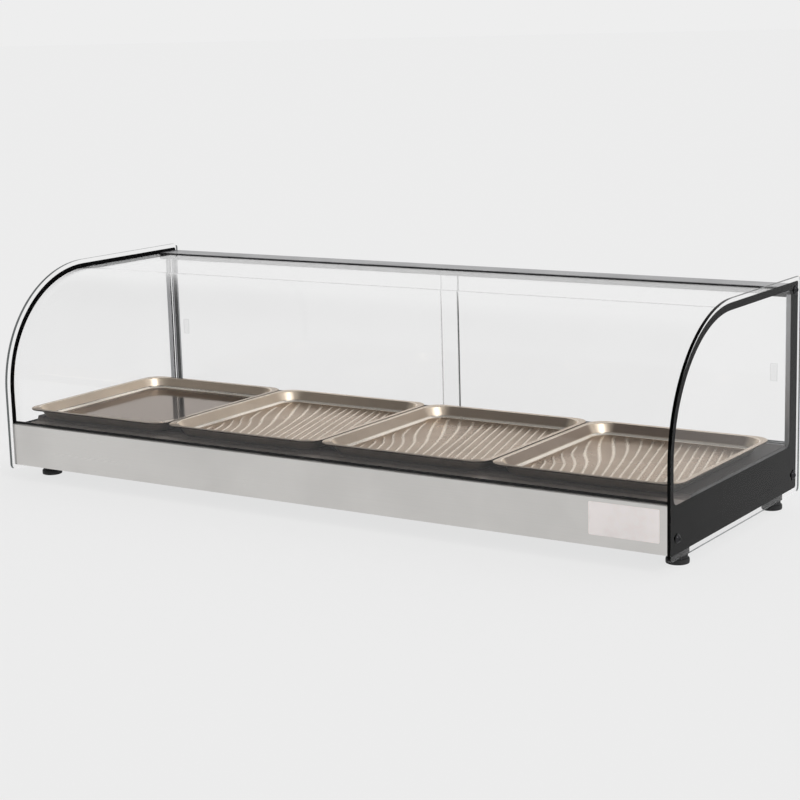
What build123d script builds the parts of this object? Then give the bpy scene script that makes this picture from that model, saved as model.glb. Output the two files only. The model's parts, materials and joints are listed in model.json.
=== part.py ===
from build123d import *
import math
import os

# Heated counter display case: a glass cabinet with a bent front, four trays on a warm platform
# and sliding glass doors at the rear. All sizes are millimetres. X runs to the right as seen
# from the front, Y from the front to the rear and Z up. The origin lies on the table.

# Overall sizes
clear_width = 900.0
side_depth = 340.0
side_height = 248.0
foot_height = 22.0
panel_height = 52.0
pane_drop = 6.0

# Side panes and their printed border
pane_glass = 3.7
print_thickness = 0.3
front_radius = 150.0
pane_corner = 6.0
print_margin = 5.0
print_corner = 3.0
print_front = 6.5
print_top = 8.0
print_rear = 20.0
print_bottom = 51.0
window_corner = 8.0

# Sheet metal of the base
sheet = 1.0
panel_edge = 0.8
front_setback = 4.0
front_flange = 16.0
rear_setback = 7.2
pan_sheet = 1.2
end_sheet = 1.5
vent_length = 30.0
vent_width = 3.0
vent_pitch = 9.0
vent_count = 6

# Deck: a low front ledge, then the raised platform
deck_sheet = 1.2
ledge_drop = 4.0
ledge_depth = 45.0
platform_rise = 6.0
step_run = 3.0
rear_ledge = 10.0

# Bent front glass, its seals and the top rail
front_glass_thickness = 3.0
seal_wall = 0.5
seal_base = 1.0
seal_stand = 2.0
rail_drop = 8.5
rail_depth = 32.6
rail_sheet = 0.8
shelf_lip = 1.0
block_height = 9.2
block_width = 5.0

# Door tracks, jambs and sliding doors
track_wall = 1.6
groove = 7.0
lower_track_height = 10.0
lower_track_web = 1.5
upper_track_height = 6.2
upper_track_web = 1.2
jamb_web = 1.5
door_thickness = 4.0
door_overlap = 30.0
door_end_gap = 0.3
door_top_gap = 1.5
shoe_length = 40.0
shoe_height = 7.6
shoe_floor = 4.6
shoe_inset = 22.0
shoe_gap = 0.3
pull_width = 8.0
pull_height = 20.0
pull_thickness = 3.0
pull_inset = 16.0
pull_drop = 8.0

# Trays
tray_count = 4
tray_width = 222.0
tray_depth = 250.0
tray_height = 13.7
tray_sheet = 0.8
tray_flange = 5.0
tray_taper = 8.0
tray_corner = 20.0
tray_gap = 2.4
tray_front = 22.0
rest_gap = 0.3

# Heating elements and what holds them
heater_radius = 4.0
heater_inset = 45.0
heater_end = 30.0
heater_middle = 20.0
heater_turn_gap = 12.0
heater_gap = 0.2
strap_count = 3
strap_width = 14.0
strap_sheet = 1.2
strap_foot = 12.0
strap_inset = 20.0
strap_side = 1.0
shield_front = 26.0
shield_height = 18.0
bay_depth = 43.0
insulation_thickness = 19.0
bulb_radius = 3.0
bulb_length = 80.0
bulb_start = 20.0
capillary_radius = 0.8
capillary_bend = 4.0
capillary_drop = 8.0

# Controls on the rear panel
thermostat_inset = 300.0
thermostat_width = 38.0
thermostat_depth = 28.0
thermostat_height = 30.0
shaft_radius = 3.0
shaft_depth = 14.0
turning_clearance = 0.05
knob_radius = 15.0
knob_skirt = 4.0
knob_grip_radius = 11.5
knob_length = 14.0
knob_gap = 1.2
knob_cap = 3.0
flute_count = 18
flute_radius = 0.9
mark_width = 1.6
mark_height = 0.6
body_screw_x = 14.0
body_screw_radius = 1.5
body_screw_head = 2.6
body_screw_head_height = 0.9
body_screw_length = 6.0
switch_inset = 190.0
switch_width = 13.0
switch_height = 27.0
switch_depth = 20.0
bezel_border = 1.5
bezel_thickness = 1.8
rocker_width = 9.6
rocker_length = 20.4
rocker_angle = 8.0
rocker_dip = 2.6
rocker_rise = 4.2
rocker_side = 0.8
rocker_root = 5.0
rocker_root_width = 6.0
rocker_gap = 0.7
rocker_cavity = 9.0
rocker_pin = 1.2
rocker_pin_length = 0.9
lamp_inset = 235.0
lamp_radius = 5.0
lamp_flange = 6.5
lamp_flange_height = 1.5
lamp_lens_height = 4.0
lamp_depth = 20.0
gland_inset = 70.0
gland_bore = 4.0
gland_thread = 7.5
gland_hex = 9.0
gland_hex_height = 6.0
gland_dome = 8.0
gland_tip = 5.6
gland_nut_height = 4.0
gland_inside = 5.5
terminal_inset = 125.0
terminal_width = 36.0
terminal_depth = 18.0
terminal_height = 16.0
terminal_pitch = 12.0
terminal_bore = 1.6
terminal_rear = 10.0
wire_radius = 1.0
wire_bend = 4.0
wire_lane = 4.0

# Screws, washers, nuts, feet and label
screw_radius = 2.0
thread_clearance = 0.05
screw_head = 4.2
screw_head_height = 2.6
screw_bite = 0.8
washer_radius = 5.4
washer_thickness = 0.8
pane_hole = 2.6
insert_radius = 4.0
insert_length = 8.0
front_screw_inset = 16.0
rear_screw_inset = 18.0
base_screw_height = 16.0
foot_radius = 12.5
foot_taper = 1.5
foot_side_inset = 14.0
foot_front_inset = 55.0
foot_rear_inset = 37.0
foot_recess = 5.5
foot_recess_depth = 12.0
nut_radius = 4.0
nut_height = 3.2
nut_stand = 1.0
label_width = 80.0
label_height = 35.0
label_thickness = 0.2
label_corner = 1.5
label_right = 10.0
label_bottom = 12.0

os.makedirs("parts", exist_ok=True)

# Planes and levels that follow from the sizes
half = clear_width / 2
pane = pane_glass + print_thickness
base_z = foot_height - sheet
pan_top = foot_height + pan_sheet
panel_top = base_z + panel_height
pane_z0 = base_z - pane_drop
pane_z1 = pane_z0 + side_height
pane_y0 = -side_depth / 2
pane_y1 = side_depth / 2
panel_y = pane_y0 + front_setback
panel_back = panel_y + sheet

ledge_top = panel_top - ledge_drop
platform_top = ledge_top + platform_rise
platform_under = platform_top - deck_sheet

track_depth = 3 * track_wall + 2 * groove
track_y1 = pane_y1 - rear_setback
track_y0 = track_y1 - track_depth
front_lane = track_y0 + track_wall + groove / 2
rear_lane = front_lane + track_wall + groove
lower_z0 = panel_top - lower_track_height
rear_face = track_y0
rear_inside = rear_face - sheet
control_z = (pan_top + lower_z0 - sheet) / 2
thermostat_x = half - thermostat_inset
lamp_x = half - lamp_inset
switch_x = half - switch_inset
terminal_x = half - terminal_inset
gland_x = half - gland_inset

rail_top = pane_z1 - rail_drop
rail_z0 = rail_top - rail_sheet
rail_y1 = track_y1 + rail_sheet
rail_y0 = rail_y1 - rail_depth
upper_z0 = rail_z0 - upper_track_height
block_z0 = rail_z0 - block_height
block_x = half - block_width

glass_top = rail_z0 - seal_wall
glass_inset = pane_z1 - glass_top
glass_y0 = pane_y0 + glass_inset
glass_z0 = ledge_top + seal_base
bend_y = pane_y0 + front_radius
bend_z = pane_z1 - front_radius
shelf_y = track_y0 - rail_sheet
glass_y1 = shelf_y - seal_wall
seal_under = glass_top - front_glass_thickness - seal_wall
seal_y0 = glass_y0 - seal_wall

front_screw_y = pane_y0 + front_screw_inset
rear_screw_y = pane_y1 - rear_screw_inset
base_screw_z = base_z + base_screw_height
top_screw_z = (block_z0 + rail_z0) / 2
thread_radius = screw_radius + thread_clearance


def save(piece, label):
    """Name a finished piece and write it."""
    piece.part.label = label
    export_step(piece.part, f"parts/{label}.step")


def block(x0, x1, y0, y1, z0, z1, mode=Mode.ADD):
    """Box between two corners."""
    with Locations(((x0 + x1) / 2, (y0 + y1) / 2, (z0 + z1) / 2)):
        Box(x1 - x0, y1 - y0, z1 - z0, mode=mode)


def patch(u0, u1, v0, v1, mode=Mode.ADD):
    """Rectangle between two corners of the sketch."""
    with Locations(((u0 + u1) / 2, (v0 + v1) / 2)):
        Rectangle(u1 - u0, v1 - v0, mode=mode)


def along_x(profile, x0, x1, label):
    """Piece with one profile, drawn in Y and Z, from x0 to x1."""
    with BuildPart() as piece:
        with BuildSketch(Plane.YZ.offset(x0)):
            profile()
        extrude(amount=x1 - x0)
    save(piece, label)


def side_outline(inset_front, inset_rear, inset_bottom, inset_top, bend, corner):
    """Outline of a side pane or of its border, with the front top corner bent."""
    y0 = pane_y0 + inset_front
    y1 = pane_y1 - inset_rear
    z0 = pane_z0 + inset_bottom
    z1 = pane_z1 - inset_top
    with BuildSketch() as shape:
        patch(y0, y1, z0, z1)
        fillet(shape.vertices().sort_by_distance((y0, z1))[0], bend)
        for point in ((y0, z0), (y1, z0), (y1, z1)):
            fillet(shape.vertices().sort_by_distance(point)[0], corner)
    return shape.sketch


# Side panes of clear glass, each with a black border printed on its inner face
window_front = print_margin + print_front
window_rear = print_margin + print_rear
window_bottom = print_margin + print_bottom
window_top = print_margin + print_top
pane_face = side_outline(0, 0, 0, 0, front_radius, pane_corner)
border_face = side_outline(
    print_margin, print_margin, print_margin, print_margin,
    front_radius - print_margin, print_corner,
)
window_face = side_outline(
    window_front, window_rear, window_bottom, window_top,
    front_radius - window_front, window_corner,
)
pane_screws = (
    (front_screw_y, base_screw_z),
    (rear_screw_y, base_screw_z),
    (rear_screw_y, top_screw_z),
)
for side, glass_x, print_x in (
    ("left", -half - pane, -half - print_thickness),
    ("right", half + print_thickness, half),
):
    with BuildPart() as side_pane:
        with BuildSketch(Plane.YZ.offset(glass_x)):
            add(pane_face)
            with Locations(*pane_screws):
                Circle(pane_hole, mode=Mode.SUBTRACT)
        extrude(amount=pane_glass)
    save(side_pane, f"side_pane_{side}")
    with BuildPart() as border:
        with BuildSketch(Plane.YZ.offset(print_x)):
            add(border_face)
            add(window_face, mode=Mode.SUBTRACT)
            with Locations(*pane_screws):
                Circle(pane_hole, mode=Mode.SUBTRACT)
        extrude(amount=print_thickness)
    save(border, f"border_{side}")

# Front panel, folded back over the ledge at the top and under the pan at the bottom
with BuildPart() as front_panel:
    with BuildSketch(Plane.YZ.offset(-half)):
        patch(panel_y, panel_back, base_z, panel_top)
        patch(panel_y, seal_y0, panel_top - sheet, panel_top)
        patch(seal_y0 - sheet, seal_y0, ledge_top, panel_top)
        patch(panel_y, panel_y + front_flange, base_z, foot_height)
    extrude(amount=clear_width)
    face_edges = front_panel.edges().filter_by(Axis.X).group_by(Axis.Y)[0]
    fillet(face_edges, panel_edge)
save(front_panel, "front_panel")

# Base pan with vents below the wiring bay and holes for the foot screws
foot_x = half - foot_side_inset
foot_y0 = pane_y0 + foot_front_inset
foot_y1 = pane_y1 - foot_rear_inset
foot_points = [(x, y) for x in (-foot_x, foot_x) for y in (foot_y0, foot_y1)]
bay_y = rear_inside - bay_depth
with BuildPart() as base_pan:
    with BuildSketch(Plane.XY.offset(foot_height)):
        patch(-half, half, panel_back, rear_inside)
        with Locations(*foot_points):
            Circle(thread_radius, mode=Mode.SUBTRACT)
        with Locations(*[(x, bay_y + bay_depth / 2) for x in (lamp_x - thermostat_x, -thermostat_x)]):
            with GridLocations(vent_pitch, vent_length, vent_count, 1):
                SlotOverall(vent_length, vent_width, rotation=90, mode=Mode.SUBTRACT)
    extrude(amount=pan_sheet)
save(base_pan, "base_pan")

# Deck sheet, its underside parallel to its top
slope_shift = deck_sheet * (math.hypot(step_run, platform_rise) - step_run) / platform_rise
step_y0 = panel_y + ledge_depth
step_y1 = step_y0 + step_run
drop_y0 = track_y0 - rear_ledge
drop_y1 = drop_y0 + step_run
ledge_under = ledge_top - deck_sheet
deck_top_line = [
    (panel_back, ledge_top),
    (step_y0, ledge_top),
    (step_y1, platform_top),
    (drop_y0, platform_top),
    (drop_y1, ledge_top),
    (track_y0, ledge_top),
]
deck_under_line = [
    (panel_back, ledge_under),
    (step_y0 + slope_shift, ledge_under),
    (step_y1 + slope_shift, platform_under),
    (drop_y0 - slope_shift, platform_under),
    (drop_y1 - slope_shift, ledge_under),
    (track_y0, ledge_under),
]


def deck_profile():
    with BuildLine() as line:
        Polyline(*deck_top_line, *reversed(deck_under_line), close=True)
    add(line.line)
    make_face()


along_x(deck_profile, -half, half, "deck")

# End plates follow the underside of the deck and carry the threaded inserts of the panes
end_outline = [
    (panel_back, pan_top),
    *deck_under_line,
    (track_y0, lower_z0),
    (track_y1, lower_z0),
    (track_y1, pan_top),
]
for side, plate_x, insert_x in (
    ("left", -half, -half),
    ("right", half - end_sheet, half - insert_length),
):
    with BuildPart() as end_plate:
        with BuildSketch(Plane.YZ.offset(plate_x)):
            with BuildLine():
                Polyline(*end_outline, close=True)
            make_face()
        extrude(amount=end_sheet)
        with BuildSketch(Plane.YZ.offset(insert_x)):
            with Locations(*pane_screws[:2]):
                Circle(insert_radius)
        extrude(amount=insert_length)
        with BuildSketch(Plane.YZ.offset(insert_x)):
            with Locations(*pane_screws[:2]):
                Circle(thread_radius)
        extrude(amount=insert_length, mode=Mode.SUBTRACT)
    save(end_plate, f"end_plate_{side}")

# Rear panel, set in below the door track, with its flange and the holes of the controls
end_inside = half - end_sheet
lamp_hole = lamp_radius + turning_clearance
with BuildPart() as rear_panel:
    block(-end_inside, end_inside, rear_inside, rear_face, foot_height, lower_z0)
    block(-end_inside, end_inside, rear_face, track_y1, lower_z0 - sheet, lower_z0)
    with BuildSketch(Plane.XZ.offset(-rear_face)):
        with Locations((thermostat_x, control_z)):
            Circle(shaft_radius + 1)
        with Locations((thermostat_x - body_screw_x, control_z), (thermostat_x + body_screw_x, control_z)):
            Circle(body_screw_radius + turning_clearance)
        with Locations((switch_x, control_z)):
            Rectangle(switch_width, switch_height)
        with Locations((lamp_x, control_z)):
            Circle(lamp_hole)
        with Locations((gland_x, control_z)):
            Circle(gland_thread + turning_clearance)
        with Locations((-thermostat_x, control_z), (-gland_x, control_z)):
            with GridLocations(vent_pitch, vent_length, vent_count, 1):
                SlotOverall(vent_length, vent_width, rotation=90)
    extrude(amount=sheet, mode=Mode.SUBTRACT)
save(rear_panel, "rear_panel")

# Door tracks: a web with three walls, open to the doors
wall_starts = [track_y0 + i * (track_wall + groove) for i in range(3)]
groove_starts = [y + track_wall for y in wall_starts[:2]]


def lower_profile():
    patch(track_y0, track_y1, lower_z0, lower_z0 + lower_track_web)
    for y in wall_starts:
        patch(y, y + track_wall, lower_z0, panel_top)


def upper_profile():
    patch(track_y0, track_y1, rail_z0 - upper_track_web, rail_z0)
    for y in wall_starts:
        patch(y, y + track_wall, upper_z0, rail_z0)


along_x(lower_profile, -half, half, "lower_track")
along_x(upper_profile, -block_x, block_x, "upper_track")

# Jambs of the same section, with buffer strips in their grooves, and the rail's end blocks
for side, web_x0, web_x1, fin_x0, fin_x1, block_x0 in (
    ("left", -half, -half + jamb_web, -half, -block_x, -half),
    ("right", half - jamb_web, half, block_x, half, block_x),
):
    with BuildPart() as jamb:
        with BuildSketch(Plane.XY.offset(panel_top)):
            patch(web_x0, web_x1, track_y0, track_y1)
            for y in wall_starts:
                patch(fin_x0, fin_x1, y, y + track_wall)
        extrude(amount=block_z0 - panel_top)
    save(jamb, f"jamb_{side}")
    with BuildPart() as rail_block:
        block(block_x0, block_x0 + block_width, track_y0, track_y1, block_z0, rail_z0)
        with BuildSketch(Plane.YZ.offset(block_x0)):
            with Locations((rear_screw_y, top_screw_z)):
                Circle(thread_radius)
        extrude(amount=block_width, mode=Mode.SUBTRACT)
    save(rail_block, f"rail_block_{side}")

with BuildPart() as door_buffers:
    for x0, x1 in ((-half + jamb_web, -block_x), (block_x, half - jamb_web)):
        for y in groove_starts:
            block(x0, x1, y, y + groove, panel_top, block_z0)
save(door_buffers, "door_buffers")


# Top rail, the shelf that carries the bent glass, and the two seals
def rail_profile():
    patch(rail_y0, rail_y1, rail_z0, rail_top)
    patch(track_y1, rail_y1, upper_z0, rail_top)


def shelf_profile():
    patch(shelf_y, track_y0, seal_under - rail_sheet, rail_z0)
    patch(rail_y0 + shelf_lip, track_y0, seal_under - rail_sheet, seal_under)


def top_seal_profile():
    patch(rail_y0, shelf_y, seal_under, rail_z0)
    patch(rail_y0, glass_y1, seal_under + seal_wall, glass_top, mode=Mode.SUBTRACT)


def bottom_seal_profile():
    seal_y1 = glass_y0 + front_glass_thickness + seal_wall
    seal_top = panel_top + seal_stand
    patch(seal_y0, seal_y1, ledge_top, seal_top)
    patch(glass_y0, glass_y0 + front_glass_thickness, glass_z0, seal_top, mode=Mode.SUBTRACT)


def glass_profile():
    inner_y = glass_y0 + front_glass_thickness
    inner_z = glass_top - front_glass_thickness
    with BuildLine() as line:
        front = Line((glass_y0, glass_z0), (glass_y0, bend_z))
        bend = TangentArc(front @ 1, (bend_y, glass_top), tangent=front % 1)
        roof = Line(bend @ 1, (glass_y1, glass_top))
        edge = Line(roof @ 1, (glass_y1, inner_z))
        ceiling = Line(edge @ 1, (bend_y, inner_z))
        hollow = TangentArc(ceiling @ 1, (inner_y, bend_z), tangent=ceiling % 1)
        back = Line(hollow @ 1, (inner_y, glass_z0))
        Line(back @ 1, front @ 0)
    add(line.line)
    make_face()


along_x(rail_profile, -half, half, "top_rail")
along_x(shelf_profile, -half, half, "glass_shelf")
along_x(top_seal_profile, -half, half, "seal_top")
along_x(bottom_seal_profile, -half, half, "seal_bottom")
along_x(glass_profile, -half, half, "front_glass")

# Sliding doors: the left one runs in the front groove, the right one in the rear groove
closed_x = block_x - door_end_gap
door_width = closed_x + door_overlap / 2
shoe_z0 = lower_z0 + lower_track_web + shoe_gap
door_z0 = shoe_z0 + shoe_floor
door_z1 = rail_z0 - upper_track_web - door_top_gap
pull_z = (door_z0 + door_z1) / 2 - pull_drop
shoe_half = groove / 2 - shoe_gap
for side, x0, lane, pull_x in (
    ("left", -closed_x, front_lane, -closed_x + pull_inset),
    ("right", closed_x - door_width, rear_lane, closed_x - pull_inset - pull_width),
):
    glass_back = lane + door_thickness / 2
    with BuildPart() as door:
        block(x0, x0 + door_width, lane - door_thickness / 2, glass_back, door_z0, door_z1)
        chamfer(door.edges().filter_by(Axis.Z), door_thickness / 8)
    save(door, f"door_{side}")
    with BuildPart() as door_shoes:
        for shoe_x in (x0 + shoe_inset, x0 + door_width - shoe_inset - shoe_length):
            block(
                shoe_x, shoe_x + shoe_length,
                lane - shoe_half, lane + shoe_half,
                shoe_z0, shoe_z0 + shoe_height,
            )
            block(
                shoe_x, shoe_x + shoe_length,
                lane - door_thickness / 2, glass_back,
                door_z0, shoe_z0 + shoe_height,
                mode=Mode.SUBTRACT,
            )
    save(door_shoes, f"door_shoes_{side}")
    with BuildPart() as door_pull:
        block(
            pull_x, pull_x + pull_width,
            glass_back, glass_back + pull_thickness,
            pull_z - pull_height / 2, pull_z + pull_height / 2,
        )
        fillet(door_pull.edges().filter_by(Axis.Z).group_by(Axis.Y)[-1], pull_thickness / 3)
    save(door_pull, f"door_pull_{side}")

# Trays: pressed sheet with sloping walls and a flat flange
tray_z0 = platform_top + rest_gap
tray_z1 = tray_z0 + tray_height
tray_y = panel_y + tray_front + tray_depth / 2
tray_pitch = tray_width + tray_gap


def tray_outline(inset):
    """Rounded outline, inset from the rim of the flange."""
    RectangleRounded(tray_width - 2 * inset, tray_depth - 2 * inset, max(tray_corner - inset, 2.0))


for i in range(tray_count):
    tray_plane = Plane(origin=((i - (tray_count - 1) / 2) * tray_pitch, tray_y, 0))
    with BuildPart() as tray:
        with BuildSketch(tray_plane.offset(tray_z0)):
            tray_outline(tray_flange + tray_taper)
        with BuildSketch(tray_plane.offset(tray_z1)):
            tray_outline(tray_flange)
        loft()
        with BuildSketch(tray_plane.offset(tray_z1 - tray_sheet)):
            tray_outline(0)
        extrude(amount=tray_sheet)
        with BuildSketch(tray_plane.offset(tray_z0 + tray_sheet)):
            tray_outline(tray_flange + tray_taper + tray_sheet)
        with BuildSketch(tray_plane.offset(tray_z1)):
            tray_outline(tray_flange + tray_sheet)
        loft(mode=Mode.SUBTRACT)
    save(tray, f"tray_{i + 1}")

# Tubular heating elements, each a flat serpentine of four passes below the platform
heater_y = (step_y1 + drop_y0) / 2
heater_pitch = (drop_y0 - step_y1 - 2 * heater_inset) / 3
heater_z = platform_under - heater_gap - heater_radius
turn = heater_pitch / 2
far_x = half - heater_end - turn
near_x = heater_middle + heater_turn_gap + turn
passes = [heater_y + (i - 1.5) * heater_pitch for i in range(4)]
for side, s in (("left", -1), ("right", 1)):
    with BuildPart() as heater:
        with BuildLine(Plane.XY.offset(heater_z)) as route:
            run_1 = Line((s * heater_middle, passes[3]), (s * far_x, passes[3]))
            turn_1 = TangentArc(run_1 @ 1, (s * far_x, passes[2]), tangent=run_1 % 1)
            run_2 = Line(turn_1 @ 1, (s * near_x, passes[2]))
            turn_2 = TangentArc(run_2 @ 1, (s * near_x, passes[1]), tangent=run_2 % 1)
            run_3 = Line(turn_2 @ 1, (s * far_x, passes[1]))
            turn_3 = TangentArc(run_3 @ 1, (s * far_x, passes[0]), tangent=run_3 % 1)
            Line(turn_3 @ 1, (s * heater_middle, passes[0]))
        with BuildSketch(Plane(origin=route.line @ 0, z_dir=route.line % 0)):
            Circle(heater_radius)
        sweep()
    save(heater, f"heater_{side}")

# Straps below the passes, their feet spot-welded to the platform
strap_y = 1.5 * heater_pitch + heater_radius + strap_side
strap_z0 = heater_z - heater_radius - heater_gap - strap_sheet
strap_first = near_x + strap_inset
strap_step = (far_x - strap_inset - strap_first) / (strap_count - 1)
strap_centres = [s * (strap_first + i * strap_step) for s in (-1, 1) for i in range(strap_count)]
with BuildPart() as heater_straps:
    for x in strap_centres:
        x0 = x - strap_width / 2
        x1 = x + strap_width / 2
        leg = strap_y + strap_sheet
        block(x0, x1, heater_y - leg, heater_y + leg, strap_z0, strap_z0 + strap_sheet)
        for y0, y1 in ((-leg, -strap_y), (strap_y, leg)):
            block(x0, x1, heater_y + y0, heater_y + y1, strap_z0, platform_under)
        for y0, y1 in ((-leg - strap_foot, -strap_y), (strap_y, leg + strap_foot)):
            block(x0, x1, heater_y + y0, heater_y + y1, platform_under - strap_sheet, platform_under)
save(heater_straps, "heater_straps")

# Heat shield standing on the pan, with the insulation on it
shield_y0 = panel_y + shield_front
shield_top = pan_top + shield_height


def shield_profile():
    patch(shield_y0, bay_y, shield_top - sheet, shield_top)
    patch(shield_y0, shield_y0 + sheet, pan_top, shield_top)
    patch(bay_y - sheet, bay_y, pan_top, shield_top)


def insulation_profile():
    patch(shield_y0, bay_y, shield_top, shield_top + insulation_thickness)


along_x(shield_profile, -end_inside, end_inside, "heat_shield")
along_x(insulation_profile, -end_inside, end_inside, "insulation")

# Thermostat: body, turning shaft, knob, screws, and the bulb on its capillary tube
thermostat_y = rear_inside - thermostat_depth
thermostat_left = thermostat_x - thermostat_width / 2
thermostat_right = thermostat_x + thermostat_width / 2
knob_y0 = rear_face + knob_gap
knob_y1 = knob_y0 + knob_length
shaft_y0 = rear_inside - shaft_depth
shaft_y1 = knob_y1 - knob_cap
with BuildPart() as thermostat_body:
    block(
        thermostat_left, thermostat_right, thermostat_y, rear_inside,
        control_z - thermostat_height / 2, control_z + thermostat_height / 2,
    )
    with BuildSketch(Plane.XZ.offset(-rear_inside)):
        with Locations((thermostat_x, control_z)):
            Circle(shaft_radius + turning_clearance)
    extrude(amount=shaft_depth + rest_gap, mode=Mode.SUBTRACT)
    with BuildSketch(Plane.XZ.offset(-rear_inside)):
        with Locations((thermostat_x - body_screw_x, control_z), (thermostat_x + body_screw_x, control_z)):
            Circle(body_screw_radius + turning_clearance)
    extrude(amount=body_screw_length, mode=Mode.SUBTRACT)
save(thermostat_body, "thermostat_body")

with BuildPart() as thermostat_shaft:
    with BuildSketch(Plane.XZ.offset(-shaft_y1)):
        with Locations((thermostat_x, control_z)):
            Circle(shaft_radius)
    extrude(amount=shaft_y1 - shaft_y0)
save(thermostat_shaft, "thermostat_shaft")

with BuildPart() as thermostat_knob:
    with BuildSketch(Plane.XZ.offset(-(knob_y0 + knob_skirt))):
        with Locations((thermostat_x, control_z)):
            Circle(knob_radius)
    extrude(amount=knob_skirt)
    with BuildSketch(Plane.XZ.offset(-knob_y1)):
        with Locations((thermostat_x, control_z)):
            Circle(knob_grip_radius)
            with PolarLocations(knob_grip_radius, flute_count):
                Circle(flute_radius, mode=Mode.SUBTRACT)
    extrude(amount=knob_length - knob_skirt)
    with BuildSketch(Plane.XZ.offset(-(knob_y1 + mark_height))):
        with Locations((thermostat_x, control_z + knob_grip_radius / 2)):
            Rectangle(mark_width, knob_grip_radius - 2 * flute_radius)
    extrude(amount=mark_height)
    with BuildSketch(Plane.XZ.offset(-shaft_y1)):
        with Locations((thermostat_x, control_z)):
            Circle(shaft_radius)
    extrude(amount=shaft_y1 - knob_y0, mode=Mode.SUBTRACT)
save(thermostat_knob, "thermostat_knob")

with BuildPart() as thermostat_screws:
    for x in (thermostat_x - body_screw_x, thermostat_x + body_screw_x):
        with BuildSketch(Plane.XZ.offset(-(rear_face + body_screw_head_height))):
            with Locations((x, control_z)):
                Circle(body_screw_head)
        extrude(amount=body_screw_head_height)
        with BuildSketch(Plane.XZ.offset(-rear_face)):
            with Locations((x, control_z)):
                Circle(body_screw_radius)
        extrude(amount=body_screw_length)
save(thermostat_screws, "thermostat_screws")

bulb_x0 = thermostat_x + bulb_start
bulb_y = (passes[2] + passes[3]) / 2
bulb_z = platform_under - heater_gap - bulb_radius
capillary_x = thermostat_x + capillary_drop
capillary_z = (shield_top + insulation_thickness + strap_z0) / 2
capillary_y = thermostat_y - capillary_drop
capillary_end_z = control_z + capillary_drop
with BuildPart() as thermostat_bulb:
    with BuildSketch(Plane.YZ.offset(bulb_x0)):
        with Locations((bulb_y, bulb_z)):
            Circle(bulb_radius)
    extrude(amount=bulb_length)
    fillet(thermostat_bulb.edges().filter_by(GeomType.CIRCLE), bulb_radius / 3)
    with BuildLine() as route:
        FilletPolyline(
            (bulb_x0, bulb_y, bulb_z),
            (capillary_x, bulb_y, bulb_z),
            (capillary_x, bulb_y + (bulb_z - capillary_z), capillary_z),
            (capillary_x, capillary_y, capillary_z),
            (capillary_x, capillary_y, capillary_end_z),
            (capillary_x, thermostat_y, capillary_end_z),
            radius=[capillary_bend, capillary_bend / 2, capillary_bend, capillary_bend],
        )
    with BuildSketch(Plane(origin=route.line @ 0, z_dir=route.line % 0)):
        Circle(capillary_radius)
    sweep(path=route.line)
save(thermostat_bulb, "thermostat_bulb")

# Rocker switch: body with its bezel, and the rocker on two short pins
switch_y = rear_inside - switch_depth
bezel_y = rear_face + bezel_thickness
cavity_x = rocker_width / 2 + rest_gap
cavity_z = rocker_length / 2 + rocker_gap
pivot_y = rear_face - rocker_side
pin_x = rocker_width / 2 + rocker_pin_length
with BuildPart() as switch_body:
    block(
        switch_x - switch_width / 2, switch_x + switch_width / 2, switch_y, rear_face,
        control_z - switch_height / 2, control_z + switch_height / 2,
    )
    block(
        switch_x - switch_width / 2 - bezel_border, switch_x + switch_width / 2 + bezel_border,
        rear_face, bezel_y,
        control_z - switch_height / 2 - bezel_border, control_z + switch_height / 2 + bezel_border,
    )
    block(
        switch_x - cavity_x, switch_x + cavity_x, pivot_y - rocker_cavity, bezel_y,
        control_z - cavity_z, control_z + cavity_z, mode=Mode.SUBTRACT,
    )
    with BuildSketch(Plane.YZ.offset(switch_x - pin_x - rest_gap)):
        with Locations((pivot_y, control_z)):
            Circle(rocker_pin + turning_clearance)
    extrude(amount=2 * (pin_x + rest_gap), mode=Mode.SUBTRACT)
save(switch_body, "switch_body")

tilt = math.radians(-rocker_angle)
rocker_plane = Plane(
    origin=(switch_x - rocker_width / 2, pivot_y, control_z),
    x_dir=(0, math.cos(tilt), math.sin(tilt)),
    z_dir=(1, 0, 0),
)
rocker_half = rocker_length / 2
with BuildPart() as rocker:
    with BuildSketch(rocker_plane):
        with BuildLine():
            Polyline(
                (rocker_dip, 0),
                (rocker_rise, rocker_half),
                (rocker_side, rocker_half),
                (-rocker_root, rocker_root_width / 2),
                (-rocker_root, -rocker_root_width / 2),
                (rocker_side, -rocker_half),
                (rocker_rise, -rocker_half),
                close=True,
            )
        make_face()
    extrude(amount=rocker_width)
    with BuildSketch(Plane.YZ.offset(switch_x - pin_x)):
        with Locations((pivot_y, control_z)):
            Circle(rocker_pin)
    extrude(amount=2 * pin_x)
save(rocker, "rocker")

# Pilot lamp
with BuildPart() as lamp_body:
    with BuildSketch(Plane.XZ.offset(-rear_face)):
        with Locations((lamp_x, control_z)):
            Circle(lamp_radius)
    extrude(amount=lamp_depth)
    with BuildSketch(Plane.XZ.offset(-(rear_face + lamp_flange_height))):
        with Locations((lamp_x, control_z)):
            Circle(lamp_flange)
    extrude(amount=lamp_flange_height)
save(lamp_body, "lamp_body")

with BuildPart() as lamp_lens:
    lens_y0 = rear_face + lamp_flange_height
    with BuildSketch(Plane.XZ.offset(-(lens_y0 + lamp_lens_height))):
        with Locations((lamp_x, control_z)):
            Circle(lamp_radius)
    extrude(amount=lamp_lens_height)
    fillet(lamp_lens.edges().group_by(Axis.Y)[-1], lamp_lens_height / 2)
save(lamp_lens, "lamp_lens")

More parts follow.
